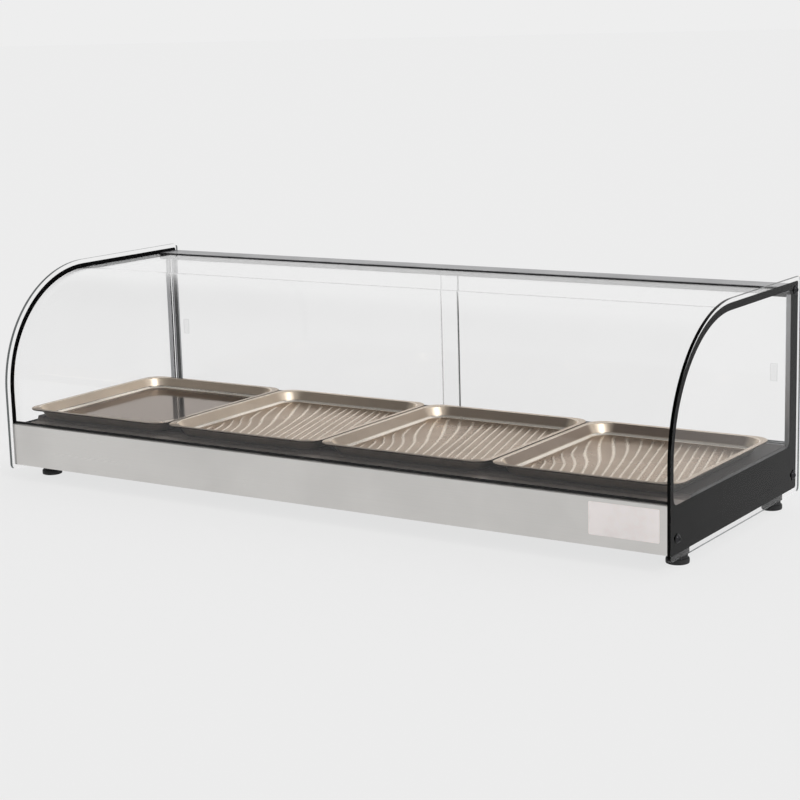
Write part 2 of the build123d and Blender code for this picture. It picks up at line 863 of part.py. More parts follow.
# Cable gland with its nut: the inlet of the mains lead
gland_y0 = rear_inside - gland_inside
hex_y1 = rear_face + gland_hex_height
with BuildPart() as cable_gland:
    with BuildSketch(Plane.XZ.offset(-rear_face)):
        with Locations((gland_x, control_z)):
            Circle(gland_thread)
    extrude(amount=rear_face - gland_y0)
    with BuildSketch(Plane.XZ.offset(-hex_y1)):
        with Locations((gland_x, control_z)):
            RegularPolygon(gland_hex, 6, major_radius=False)
    extrude(amount=gland_hex_height)
    with BuildSketch(Plane.XZ.offset(-hex_y1)):
        with Locations((gland_x, control_z)):
            Circle(gland_thread)
    with BuildSketch(Plane.XZ.offset(-(hex_y1 + gland_dome))):
        with Locations((gland_x, control_z)):
            Circle(gland_tip)
    loft()
    with BuildSketch(Plane.XZ.offset(-(hex_y1 + gland_dome))):
        with Locations((gland_x, control_z)):
            Circle(gland_bore)
    extrude(amount=hex_y1 + gland_dome - gland_y0, mode=Mode.SUBTRACT)
save(cable_gland, "cable_gland")

with BuildPart() as gland_nut:
    with BuildSketch(Plane.XZ.offset(-rear_inside)):
        with Locations((gland_x, control_z)):
            RegularPolygon(gland_hex, 6, major_radius=False)
            Circle(gland_thread + turning_clearance, mode=Mode.SUBTRACT)
    extrude(amount=gland_nut_height)
save(gland_nut, "gland_nut")

# Terminal block on the pan, with three wire bores
terminal_y1 = rear_inside - terminal_rear
terminal_y0 = terminal_y1 - terminal_depth
terminal_z = pan_top + terminal_height / 2
terminal_poles = [terminal_x + i * terminal_pitch for i in (-1, 0, 1)]
with BuildPart() as terminal_block:
    block(
        terminal_x - terminal_width / 2, terminal_x + terminal_width / 2,
        terminal_y0, terminal_y1, pan_top, pan_top + terminal_height,
    )
    with BuildSketch(Plane.XZ.offset(-terminal_y1)):
        with Locations(*[(x, terminal_z) for x in terminal_poles]):
            Circle(terminal_bore)
    extrude(amount=terminal_depth, mode=Mode.SUBTRACT)
save(terminal_block, "terminal_block")

# Inner wires, each a chain of straight runs and bends; the two elements are in series
pole_y = terminal_y0 + 2 * wire_radius
pole_lane = terminal_y0 - 2 * wire_lane
return_lane = bay_y + wire_lane - wire_radius
drop_lane = wire_lane * 2
upper_wire_z = control_z + wire_lane * 1.5
feed_x = switch_x + wire_lane
out_x = switch_x - wire_lane
wire_routes = [
    [
        (terminal_poles[0], pole_y, terminal_z),
        (terminal_poles[0], pole_lane, terminal_z),
        (feed_x, pole_lane, terminal_z),
        (feed_x, switch_y, terminal_z),
    ],
    [
        (out_x, switch_y, upper_wire_z),
        (out_x, capillary_y - wire_lane, upper_wire_z),
        (thermostat_right - wire_lane, capillary_y - wire_lane, upper_wire_z),
        (thermostat_right - wire_lane, thermostat_y, upper_wire_z),
    ],
    [
        (thermostat_left + wire_lane, thermostat_y, upper_wire_z),
        (thermostat_left + wire_lane, capillary_y - wire_lane, upper_wire_z),
        (drop_lane, capillary_y - wire_lane, upper_wire_z),
        (drop_lane, capillary_y - wire_lane, heater_z),
        (drop_lane, passes[3], heater_z),
        (heater_middle, passes[3], heater_z),
    ],
    [
        (-heater_middle, passes[0], heater_z),
        (heater_middle, passes[0], heater_z),
    ],
    [
        (-heater_middle, passes[3], heater_z),
        (-drop_lane, passes[3], heater_z),
        (-drop_lane, return_lane, heater_z),
        (-drop_lane, return_lane, terminal_z),
        (terminal_poles[1], return_lane, terminal_z),
        (terminal_poles[1], pole_y, terminal_z),
    ],
    [
        (lamp_x + wire_lane / 2, rear_face - lamp_depth, control_z),
        (lamp_x + wire_lane / 2, pole_lane + wire_lane, control_z),
        (switch_x, pole_lane + wire_lane, control_z),
        (switch_x, switch_y, control_z),
    ],
    [
        (lamp_x - wire_lane / 2, rear_face - lamp_depth, control_z),
        (lamp_x - wire_lane / 2, pole_lane, control_z),
        (terminal_poles[2], pole_lane, control_z),
        (terminal_poles[2], pole_lane, terminal_z),
        (terminal_poles[2], pole_y, terminal_z),
    ],
]
with BuildPart() as wiring:
    for points in wire_routes:
        with BuildLine() as route:
            if len(points) > 2:
                FilletPolyline(*points, radius=wire_bend)
            else:
                Line(*points)
        with BuildSketch(Plane(origin=route.line @ 0, z_dir=route.line % 0)):
            Circle(wire_radius)
        sweep(path=route.line)
save(wiring, "wiring")

# Screws and washers of the side panes
head_x = half + pane + washer_thickness
base_length = head_x - half + insert_length - screw_bite
top_length = head_x - block_x - rest_gap
with BuildPart() as pane_screw_set:
    for s in (-1, 1):
        for (y, z), length in zip(pane_screws, (base_length, base_length, top_length)):
            with BuildSketch(Plane.YZ.offset(s * head_x)):
                with Locations((y, z)):
                    Circle(screw_head)
            extrude(amount=s * screw_head_height)
            with BuildSketch(Plane.YZ.offset(s * head_x)):
                with Locations((y, z)):
                    Circle(screw_radius)
            extrude(amount=-s * length)
    rims = pane_screw_set.edges().filter_by(GeomType.CIRCLE)
    outer_rims = rims.group_by(Axis.X)[0] + rims.group_by(Axis.X)[-1]
    fillet(outer_rims, screw_head_height / 2)
save(pane_screw_set, "pane_screws")

with BuildPart() as pane_washers:
    for s in (-1, 1):
        with BuildSketch(Plane.YZ.offset(s * (half + pane))):
            with Locations(*pane_screws):
                Circle(washer_radius)
                Circle(screw_radius + thread_clearance, mode=Mode.SUBTRACT)
        extrude(amount=s * washer_thickness)
save(pane_washers, "pane_washers")

# Rubber feet with their screws and nuts
for (x, y), place in zip(foot_points, ("front_left", "rear_left", "front_right", "rear_right")):
    with BuildPart() as foot:
        with BuildSketch(Plane(origin=(x, y, 0))):
            Circle(foot_radius - foot_taper)
        with BuildSketch(Plane(origin=(x, y, foot_height))):
            Circle(foot_radius)
        loft()
        fillet(foot.edges().group_by(Axis.Z)[0], foot_taper)
        with BuildSketch(Plane(origin=(x, y, 0))):
            Circle(foot_recess)
        extrude(amount=foot_recess_depth, mode=Mode.SUBTRACT)
        with BuildSketch(Plane(origin=(x, y, 0))):
            Circle(thread_radius)
        extrude(amount=foot_height, mode=Mode.SUBTRACT)
    save(foot, f"foot_{place}")

with BuildPart() as foot_screws:
    for x, y in foot_points:
        with BuildSketch(Plane(origin=(x, y, foot_recess_depth - screw_head_height))):
            Circle(screw_head)
        extrude(amount=screw_head_height)
        with BuildSketch(Plane(origin=(x, y, foot_recess_depth))):
            Circle(screw_radius)
        extrude(amount=pan_top + nut_height + nut_stand - foot_recess_depth)
save(foot_screws, "foot_screws")

with BuildPart() as foot_nuts:
    for x, y in foot_points:
        with BuildSketch(Plane(origin=(x, y, pan_top))):
            RegularPolygon(nut_radius, 6)
            Circle(thread_radius, mode=Mode.SUBTRACT)
        extrude(amount=nut_height)
save(foot_nuts, "foot_nuts")

# Blank label on the front panel
label_x1 = half - label_right
with BuildPart() as blank_label:
    with BuildSketch(Plane.XZ.offset(-panel_y)):
        with Locations((label_x1 - label_width / 2, base_z + label_bottom + label_height / 2)):
            RectangleRounded(label_width, label_height, label_corner)
    extrude(amount=label_thickness)
save(blank_label, "blank_label")
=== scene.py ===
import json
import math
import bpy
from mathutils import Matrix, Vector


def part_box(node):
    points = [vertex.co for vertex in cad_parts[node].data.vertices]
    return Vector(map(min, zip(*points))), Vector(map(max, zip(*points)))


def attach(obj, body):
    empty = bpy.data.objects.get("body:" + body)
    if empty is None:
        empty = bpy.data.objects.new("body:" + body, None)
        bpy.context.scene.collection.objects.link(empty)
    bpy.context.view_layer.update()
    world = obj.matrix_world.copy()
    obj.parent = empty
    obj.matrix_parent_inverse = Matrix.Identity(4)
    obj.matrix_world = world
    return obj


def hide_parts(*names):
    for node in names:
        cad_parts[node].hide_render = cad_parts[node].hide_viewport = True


bl_info = {
    "name": "Heated display case",
    "version": (1, 0, 0),
    "blender": (4, 5, 0),
    "location": "3D Viewport > Sidebar > Display case",
    "description": "Dresses the packed display case in its materials and sets the studio around it",
    "category": "Object",
}

import bmesh
import bpy
from bpy.props import FloatProperty, FloatVectorProperty, IntProperty, PointerProperty
from mathutils import Matrix, Vector

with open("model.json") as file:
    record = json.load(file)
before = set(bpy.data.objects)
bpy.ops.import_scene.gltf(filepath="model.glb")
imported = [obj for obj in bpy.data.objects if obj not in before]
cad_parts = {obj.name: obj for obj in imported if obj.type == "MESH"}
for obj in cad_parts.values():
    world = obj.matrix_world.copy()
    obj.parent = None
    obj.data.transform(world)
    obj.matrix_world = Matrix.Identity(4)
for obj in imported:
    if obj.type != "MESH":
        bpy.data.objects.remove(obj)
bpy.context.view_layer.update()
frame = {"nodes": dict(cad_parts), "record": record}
nodes = frame["nodes"]

# Polish and painted light of a tray's parts, from the painted shade on its lip at 0 to the painted
# highlights on its crests at 1
wall_polish = 0.35
# Level of the painted highlight on the trays' corners
corner_highlight_level = 0.42
floor_polish = 0.5
flange_polish = 0.68

# From here to here in depth, the painted light on the deck's front ledge turns into its darker enamel
ledge_light_edge = (-0.125, -0.118)

# From here to here along the case, the trays' walls take a painted shade, darker towards the right
wall_shading_run = (-0.35, 0.3)

# Height of the knob's skirt, radius of its grip, and height in all
knob_skirt, knob_grip, knob_height = 0.004, 0.0115, 0.014

# Nodes with another finish than their slot's
special_finish = {
    "top_rail": "rail_steel", "glass_shelf": "rail_steel",
    "door_left": "door_glass", "door_right": "door_glass",
    "side_pane_left": "side_glass", "side_pane_right": "side_glass",
    "end_plate_left": "black_plastic", "end_plate_right": "black_plastic",
}


def srgb(red, green, blue):
    """Linear colour of a colour written as it looks, each part from 0 to 255."""
    linear = []
    for part in (red, green, blue):
        share = part / 255
        linear.append(share / 12.92 if share <= 0.04045 else ((share + 0.055) / 1.055) ** 2.4)
    return tuple(linear)


def colour(name, look, description):
    """Colour property with the given look as its default."""
    return FloatVectorProperty(
        name=name, description=description, subtype="COLOR", size=3, min=0, max=1, default=srgb(*look)
    )


def length(name, default, description):
    """Length property in metres."""
    return FloatProperty(
        name=name, description=description, default=default, unit="LENGTH", subtype="DISTANCE", precision=5
    )


def portion(name, default, description):
    """Property from 0 to 1."""
    return FloatProperty(
        name=name, description=description, default=default, subtype="FACTOR", min=0, max=1
    )


class DisplayCaseFinish(bpy.types.PropertyGroup):
    steel: colour("Panel steel", (221, 219, 216), "Brushed steel of the front and rear panels")
    rail_steel: colour("Rail steel", (146, 146, 148), "Darker steel of the top rail")
    enamel: colour("Deck enamel", (52, 48, 46), "Dark enamel of the deck")
    # Painted light: the front ledge's paler colour lifts the shade on it
    worn_enamel: colour("Worn enamel", (160, 151, 145), "Enamel of the front ledge, worn paler")
    print_black: colour("Printed border", (9, 9, 10), "Black print on the side panes")
    # Painted shade: the dark lip stands in for the shadow under the trays' turned lips
    tray_lip: colour("Tray lip", (58, 53, 49), "Dark bronze of the trays' turned lips")
    tray_under: colour("Tray underside", (150, 140, 132), "Bare aluminium under the trays")
    tray_wall: colour("Tray wall", (204, 187, 168), "Bronze of the trays' walls")
    # Painted highlight: brighter metal on the corners stands in for the key light's highlight there
    tray_corner: colour("Tray corner", (232, 216, 196), "Brighter metal where the corners were stretched")
    # Painted shade: the trays' walls darker towards the right of the case
    dull_wall: colour("Dull wall", (118, 104, 96), "Duller metal of the walls towards the right")
    tray_floor: colour("Tray floor", (178, 161, 145), "Bronze of the ribbed floors")
    plain_floor: colour("Plain floor", (92, 82, 80), "Smooth floor of the plain tray")
    # Painted highlight: near-white colour on the rib crests and rounded edges
    tray_crest: colour("Tray crests", (255, 247, 234), "Bright metal on the ribs and rounded edges")
    rubber: colour("Rubber", (30, 30, 31), "Feet, seals and washers")
    aluminium: colour("Track aluminium", (174, 175, 177), "Tracks and jambs")
    zinc: colour("Galvanised sheet", (150, 154, 156), "Hidden sheet parts")
    screw: colour("Screw heads", (58, 58, 60), "Blackened screws of the side panes")
    glass_tint: colour("Glass tint", (255, 255, 255), "Faint tint of the glass")


class DisplayCaseTrays(bpy.types.PropertyGroup):
    rib_pitch: length("Rib pitch", 0.0104, "Distance from one pressed rib to the next")
    rib_width: length("Rib width", 0.0042, "Width of a rib at its foot")
    # Width of the painted highlight along a rib's crest
    crest_width: length("Crest width", 0.0031, "Width of the bright line along a rib")
    rib_height: length("Rib height", 0.0009, "Height of a rib above the floor")
    rib_lean: FloatProperty(
        name="Rib lean", description="Sideways run of a rib for its run in depth", default=0.30
    )
    bend_shift: length("Bend shift", 0.0062, "Sideways swing of the S-bend, to each side")
    bend_reach: length("Bend reach", 0.0330, "Half the depth over which the S-bend runs")
    bend_place: length("Bend place", -0.0240, "Middle of the S-bend, from the tray's middle to the rear")
    bend_fade: length("Bend fade", 0.0700, "Distance from the left in which the S-bend dies out")
    spread: length("Spread", 0.0190, "How much the ribs are spaced out towards the left, in all")
    spread_reach: length("Spread reach", 0.0900, "Width at the left in which the ribs are spaced out")
    column: length("Column width", 0.0009, "Width of one mesh column of the floor")
    row: length("Row depth", 0.0016, "Depth of one mesh row of the floor")
    sheet: length("Sheet", 0.0008, "Thickness of the tray's sheet")
    plain_tray: IntProperty(
        name="Plain tray", description="Number of the tray with a smooth floor", default=1
    )


class DisplayCaseFittings(bpy.types.PropertyGroup):
    glass_thickness: length("Glass thickness", 0.0030, "Thickness of the bent front glass")
    glass_bend: length("Glass bend", 0.1402, "Outer radius of the front glass's bend")
    glass_arris: length("Glass arris", 0.0004, "How far the glass's edges are blunted")
    lip_drop: length("Lip drop", 0.0042, "How far the rubber lip hangs below the top rail")
    head_radius: length("Head radius", 0.0042, "Radius of a pane screw's head")
    head_height: length("Head height", 0.0026, "Height of a pane screw's head")
    recess: length("Recess", 0.0040, "Length of the cross recess")
    shank_radius: length("Shank radius", 0.0020, "Radius of a pane screw's shank")
    shank_length: length("Shank length", 0.0095, "Length of a pane screw's shank")
    dial_digit: length("Dial figures", 0.0028, "Height of the figures on the dial")
    dial_last: IntProperty(name="Last figure", description="Highest figure on the dial", default=6)
    dial_sweep: FloatProperty(
        name="Dial sweep", description="Turn from the first figure to the last", subtype="ANGLE",
        default=math.radians(270),
    )
    flutes: IntProperty(name="Flutes", description="Number of finger grooves round the knob", default=18)


class DisplayCaseStudio(bpy.types.PropertyGroup):
    background: colour("Background", (238, 238, 238), "Colour of the backdrop as the camera sees it")
    floor: colour("Floor", (243, 243, 243), "Colour of the floor")
    floor_glow: portion("Floor glow", 0.84, "Share of the backdrop's colour in the floor as it is seen")
    dome: FloatProperty(name="Dome light", description="Strength of the light from all around", default=1.1)
    sun: FloatProperty(name="Key light", description="Strength of the soft key light", default=0.55)
    shade: portion("Dark side", 0.3, "Brightness of the unlit side of the room in reflections")
    lens: FloatProperty(name="Lens", description="Focal length on a 36 mm sensor, in mm", default=85.76)
    camera_place: FloatVectorProperty(
        name="Camera place", description="Where the camera stands", subtype="XYZ", unit="LENGTH",
        size=3, default=(1.2447, -1.8471, 0.5522),
    )
    camera_aim: FloatVectorProperty(
        name="Camera aim", description="Direction in which the camera looks", subtype="DIRECTION",
        size=3, default=(-0.54124, 0.81817, -0.19404),
    )
    camera_roll: FloatProperty(
        name="Camera roll", description="Turn of the camera about its line of sight", subtype="ANGLE",
        default=math.radians(-1.545),
    )


# Node helpers, for shaders and geometry alike


def link(tree, source, target):
    """Feed a socket from another socket, or set it to a value; a colour may come without its alpha."""
    if isinstance(source, bpy.types.NodeSocket):
        tree.links.new(source, target)
    elif target.type == "RGBA" and len(source) == 3:
        target.default_value = (*source, 1)
    else:
        target.default_value = source


def add_node(tree, kind, inputs=None, **settings):
    """Node of a kind with its settings, and with its inputs, by name or number, fed or set."""
    node = tree.nodes.new(kind)
    for name, value in settings.items():
        setattr(node, name, value)
    for name, source in (inputs or {}).items():
        link(tree, source, node.inputs[name])
    return node


def calculate(tree, operation, *values):
    """Result of a math node on up to three values."""
    return add_node(tree, "ShaderNodeMath", dict(enumerate(values)), operation=operation).outputs[0]


def add(tree, first, second):
    """Sum of two values."""
    return calculate(tree, "ADD", first, second)


def subtract(tree, first, second):
    """Difference of two values."""
    return calculate(tree, "SUBTRACT", first, second)


def multiply(tree, first, second):
    """Product of two values."""
    return calculate(tree, "MULTIPLY", first, second)


def ramp(tree, value, low, high, first, last, smooth=False):
    """Map a value from low..high to first..last, held at the ends."""
    inputs = {"Value": value, "From Min": low, "From Max": high, "To Min": first, "To Max": last}
    curve = "SMOOTHSTEP" if smooth else "LINEAR"
    return add_node(tree, "ShaderNodeMapRange", inputs, interpolation_type=curve).outputs[0]


def split(tree, vector):
    """X, Y and Z of a vector, by name."""
    return add_node(tree, "ShaderNodeSeparateXYZ", {0: vector}).outputs


def blend_colour(tree, factor, first, second):
    """Colour between two colours."""
    return add_node(tree, "ShaderNodeMix", {0: factor, 6: first, 7: second}, data_type="RGBA").outputs[2]


def colour_stops(tree, value, stops):
    """Colour ramp through the given (place, colour) stops."""
    node = add_node(tree, "ShaderNodeValToRGB", {"Fac": value})
    elements = node.color_ramp.elements
    while len(elements) < len(stops):
        elements.new(0.5)
    for element, (place, shade) in zip(elements, stops):
        element.position = place
        element.color = (*shade, 1)
    return node.outputs["Color"]


def value_stops(tree, value, stops):
    """Value ramp through the given (place, value) stops."""
    shades = colour_stops(tree, value, [(place, (level,) * 3) for place, level in stops])
    return add_node(tree, "ShaderNodeSeparateColor", {"Color": shades}).outputs["Red"]


def mix_shaders(tree, factor, first, second):
    """Shader between two shaders."""
    return add_node(tree, "ShaderNodeMixShader", {0: factor, 1: first, 2: second}).outputs[0]


def seen_rays(tree):
    """1 for the rays that show the surroundings, and 1 for those that come from a reflection."""
    path = add_node(tree, "ShaderNodeLightPath").outputs
    seen = add(tree, add(tree, path["Is Camera Ray"], path["Is Glossy Ray"]), path["Is Transmission Ray"])
    return tuple(calculate(tree, "MINIMUM", rays, 1.0) for rays in (seen, path["Glossy Depth"]))


def new_group(name, kind, inputs, outputs):
    """Node group and its own sockets; an input has its default, or the kind of a socket without one."""
    tree = bpy.data.node_groups.new(name, kind)
    for label, default in inputs.items():
        if isinstance(default, str):
            tree.interface.new_socket(label, in_out="INPUT", socket_type=default)
        else:
            socket = "NodeSocketVector" if isinstance(default, tuple) else "NodeSocketFloat"
            made = tree.interface.new_socket(label, in_out="INPUT", socket_type=socket)
            made.default_value = default
    for label in outputs:
        socket = "NodeSocketGeometry" if label == "Geometry" else "NodeSocketFloat"
        tree.interface.new_socket(label, in_out="OUTPUT", socket_type=socket)
    return tree, tree.nodes.new("NodeGroupInput").outputs, tree.nodes.new("NodeGroupOutput").inputs


def object_place(tree, scale=(1.0, 1.0, 1.0)):
    """Object coordinates, scaled."""
    where = add_node(tree, "ShaderNodeTexCoord").outputs["Object"]
    return add_node(tree, "ShaderNodeMapping", {"Scale": scale, "Vector": where}).outputs["Vector"]


def noise(tree, vector, scale=1.0, detail=2.0, roughness=0.5):
    """Value of a noise texture at a place."""
    inputs = {"Vector": vector, "Scale": scale, "Detail": detail, "Roughness": roughness}
    return add_node(tree, "ShaderNodeTexNoise", inputs).outputs["Fac"]


def cells(tree, count):
    """Sockets of a cell pattern, with so many cells to the metre."""
    inputs = {"Vector": object_place(tree, (count,) * 3), "Scale": 1.0}
    return add_node(tree, "ShaderNodeTexVoronoi", inputs).outputs


# Shared effects


def grain_group():
    """Fine lines along one direction, as a sanding belt leaves them."""
    tree, given, result = new_group(
        "Belt grain", "ShaderNodeTree", {"Stretch": (5.0, 900.0, 900.0), "Amount": 1.0}, ("Height", "Tone")
    )
    place = object_place(tree, given["Stretch"])
    fine = multiply(tree, noise(tree, place, 1.0, 3.0, 0.6), 0.6)
    coarse = multiply(tree, noise(tree, place, 0.23), 0.4)
    scaled = multiply(tree, subtract(tree, add(tree, fine, coarse), 0.5), given["Amount"])
    link(tree, scaled, result["Height"])
    link(tree, add(tree, scaled, 0.5), result["Tone"])


def handling_group():
    """Soft patches where hands and cloths have passed over a surface."""
    tree, given, result = new_group(
        "Handling marks", "ShaderNodeTree", {"Size": (9.0, 9.0, 9.0), "Low": 0.25, "High": 0.4},
        ("Roughness", "Mask"),
    )
    cloud = noise(tree, object_place(tree, given["Size"]), 1.0, 5.0, 0.62)
    mask = ramp(tree, cloud, 0.35, 0.68, 0.0, 1.0, smooth=True)
    link(tree, mask, result["Mask"])
    link(tree, ramp(tree, mask, 0.0, 1.0, given["Low"], given["High"]), result["Roughness"])


def speckle_group():
    """Fine moulded texture of plastic and rubber."""
    tree, given, result = new_group(
        "Moulded texture", "ShaderNodeTree", {"Size": (1600.0, 1600.0, 1600.0)}, ("Height", "Tone")
    )
    place = object_place(tree, given["Size"])
    fine = noise(tree, place, 1.0, 2.0, 0.6)
    broad = noise(tree, place, 0.02)
    link(tree, fine, result["Height"])
    link(tree, add(tree, multiply(tree, fine, 0.5), multiply(tree, broad, 0.5)), result["Tone"])


def place_group(tree, group, **inputs):
    """Sockets of a shared effect placed in a material, with its own values."""
    return add_node(tree, "ShaderNodeGroup", inputs, node_tree=bpy.data.node_groups[group]).outputs


def bump(tree, height, depth, strength=1.0):
    """Normal from a height, in metres at full depth."""
    inputs = {"Strength": strength, "Distance": depth, "Height": height}
    return add_node(tree, "ShaderNodeBump", inputs).outputs["Normal"]


def new_material(name):
    """Tree and Principled shader of a new material, in place of the frame's plain one."""
    plain = bpy.data.materials.get(name)
    if plain is not None:
        bpy.data.materials.remove(plain)
    material = bpy.data.materials.new(name)
    material.use_nodes = True
    return material.node_tree, material.node_tree.nodes["Principled BSDF"]


def finish(tree, shader, base, roughness, metallic=0.0, normal=None, **plain):
    """Set a Principled shader from colours, values and sockets."""
    inputs = {"Base Color": base, "Roughness": roughness, "Metallic": metallic}
    inputs.update({name.replace("_", " "): value for name, value in plain.items()})
    if normal is not None:
        inputs["Normal"] = normal
    for name, source in inputs.items():
        link(tree, source, shader.inputs[name])


def deeper(base, share):
    """The same colour, darker or, over 1, brighter."""
    return tuple(part * share for part in base)


# Materials


def brushed_metal(name, base, stretch, roughness=0.3, contrast=0.1):
    """Sheet steel or aluminium with its grain along the long way of stretch."""
    tree, shader = new_material(name)
    grain = place_group(tree, "Belt grain", Stretch=stretch)
    marks = place_group(tree, "Handling marks", Low=roughness - 0.04, High=roughness + 0.06)
    tone = ramp(tree, grain["Tone"], 0.3, 0.7, 0.0, 1.0)
    body = blend_colour(tree, tone, deeper(base, 1 - contrast), base)
    rough = add(tree, marks["Roughness"], multiply(tree, grain["Height"], 0.25))
    finish(tree, shader, body, rough, 1.0, bump(tree, grain["Height"], 0.00002, 0.5))


def clear_glass(name, tint, bending, edge=None, rim=False, gloss=0.0):
    """Clear glass that lets the lamps through; its right edge or whole rim can have a deeper colour."""
    tree, shader = new_material(name)
    smears = place_group(tree, "Handling marks", Size=(6.0, 6.0, 6.0))
    if edge is not None:
        across = split(tree, add_node(tree, "ShaderNodeNewGeometry").outputs["Normal"])["X"]
        if rim:
            across = subtract(tree, 1.0, calculate(tree, "ABSOLUTE", across))
        tint = blend_colour(tree, ramp(tree, across, 0.5, 0.8, 0.0, 1.0), tint, edge)
    smeared = blend_colour(tree, multiply(tree, smears["Mask"], 0.02), tint, (0.5, 0.5, 0.5))
    finish(tree, shader, smeared, 0.0, Transmission_Weight=1.0, IOR=bending, Coat_Weight=gloss,
           Coat_Roughness=0.0)
    shadows = add_node(tree, "ShaderNodeLightPath").outputs["Is Shadow Ray"]
    through = add_node(tree, "ShaderNodeBsdfTransparent", {"Color": (1, 1, 1)})
    mixed = mix_shaders(tree, shadows, shader.outputs[0], through.outputs[0])
    link(tree, mixed, tree.nodes["Material Output"].inputs["Surface"])


def clear_moulding(name, base):
    """Clear plastic moulding, seen mostly by its edges."""
    tree, shader = new_material(name)
    speckle = place_group(tree, "Moulded texture", Size=(300.0, 300.0, 300.0))
    facing = add_node(tree, "ShaderNodeLayerWeight", {"Blend": 0.5}).outputs["Facing"]
    finish(tree, shader, base, 0.12, 0.0, bump(tree, speckle["Height"], 0.00002, 0.3),
           Specular_IOR_Level=0.4, Alpha=ramp(tree, facing, 0.3, 1.0, 0.05, 0.35))


def gloss_coating(name, base, low, high, specular=0.5, depth=0.00001, ledge=None):
    """Enamel, print or gloss plastic with faint marks; a ledge at the front can be painted paler, painted
    light that lifts the shade there.
    """
    tree, shader = new_material(name)
    marks = place_group(tree, "Handling marks", Low=low, High=high)
    speckle = place_group(tree, "Moulded texture", Size=(500.0, 500.0, 500.0))
    body = blend_colour(tree, marks["Mask"], base, deeper(base, 1.25))
    if ledge is not None:
        # Painted light: the enamel turns paler towards the front ledge
        lit = ramp(tree, split(tree, object_place(tree))["Y"], *ledge_light_edge, 1.0, 0.0)
        body = blend_colour(tree, lit, body, ledge)
    finish(tree, shader, body, marks["Roughness"], 0.0, bump(tree, speckle["Height"], depth, 0.4),
           Specular_IOR_Level=specular)


def moulded(name, base, low, high, depth=0.00006):
    """Matt plastic or rubber."""
    tree, shader = new_material(name)
    speckle = place_group(tree, "Moulded texture")
    marks = place_group(tree, "Handling marks", Size=(40.0, 40.0, 40.0), Low=low, High=high)
    body = blend_colour(tree, speckle["Tone"], deeper(base, 0.8), deeper(base, 1.15))
    finish(tree, shader, body, marks["Roughness"], 0.0, bump(tree, speckle["Height"], depth, 0.5))


def galvanised_sheet(name, base):
    """Zinc coated sheet with its crystal spangle."""
    tree, shader = new_material(name)
    tone = add_node(tree, "ShaderNodeSeparateColor", {"Color": cells(tree, 120.0)["Color"]}).outputs
    body = blend_colour(tree, tone["Red"], deeper(base, 0.78), base)
    finish(tree, shader, body, ramp(tree, tone["Green"], 0.0, 1.0, 0.35, 0.55), 0.9)


def tray_metal(name, look, floor, floor_roughness):
    """Bronze coloured aluminium, with painted highlights on its crests and corners and painted shade on its
    lip, as its polish attribute says, and painted shade on its walls towards the right.
    """
    tree, shader = new_material(name)
    polish = add_node(
        tree, "ShaderNodeAttribute", attribute_type="GEOMETRY", attribute_name="polish"
    ).outputs["Fac"]
    grain = place_group(tree, "Belt grain", Stretch=(700.0, 8.0, 700.0), Amount=0.8)
    marks = place_group(tree, "Handling marks", Size=(14.0, 14.0, 14.0), Low=-0.04, High=0.05)
    tone = colour_stops(tree, polish, (
        (0.0, look.tray_lip), (wall_polish, look.tray_wall), (corner_highlight_level, look.tray_corner),
        (floor_polish, floor), (1.0, look.tray_crest),
    ))
    rough = value_stops(tree, polish, (
        (0.0, 0.34), (wall_polish, 0.4), (corner_highlight_level, 0.36), (floor_polish, floor_roughness),
        (1.0, 0.24),
    ))
    body = blend_colour(tree, multiply(tree, marks["Mask"], 0.12), tone, (0.1, 0.08, 0.06))
    # Painted shade on the walls, deeper towards the right
    off_wall = calculate(tree, "ABSOLUTE", subtract(tree, polish, wall_polish))
    rightwards = ramp(tree, split(tree, object_place(tree))["X"], *wall_shading_run, 0.0, 0.8)
    wall_shaded = multiply(tree, ramp(tree, off_wall, 0.02, 0.06, 1.0, 0.12), rightwards)
    body = blend_colour(tree, wall_shaded, body, look.dull_wall)
    rough = add(tree, rough, multiply(tree, marks["Roughness"], floor_roughness * 3))
    finish(tree, shader, body, calculate(tree, "MAXIMUM", rough, 0.04), 1.0,
           bump(tree, grain["Height"], floor_roughness * 0.000016, 0.3), Specular_Tint=(0.94, 0.88, 0.82))


def wool(name, base):
    """Insulation of matted fibres."""
    tree, shader = new_material(name)
    fibres = noise(tree, object_place(tree, (180.0, 700.0, 500.0)), 1.0, 6.0, 0.7)
    body = blend_colour(tree, ramp(tree, fibres, 0.35, 0.65, 0.0, 1.0), deeper(base, 0.72), base)
    finish(tree, shader, body, 0.95, 0.0, bump(tree, fibres, 0.0008, 0.8))


def lamp_lens(name, base):
    """Translucent lens with fine facets."""
    tree, shader = new_material(name)
    facets = cells(tree, 900.0)["Distance"]
    tone = blend_colour(tree, ramp(tree, facets, 0.0, 0.7, 0.0, 1.0), base, deeper(base, 0.6))
    finish(tree, shader, tone, 0.15, 0.0, bump(tree, facets, 0.0002, 0.6),
           Transmission_Weight=0.35, IOR=1.5)


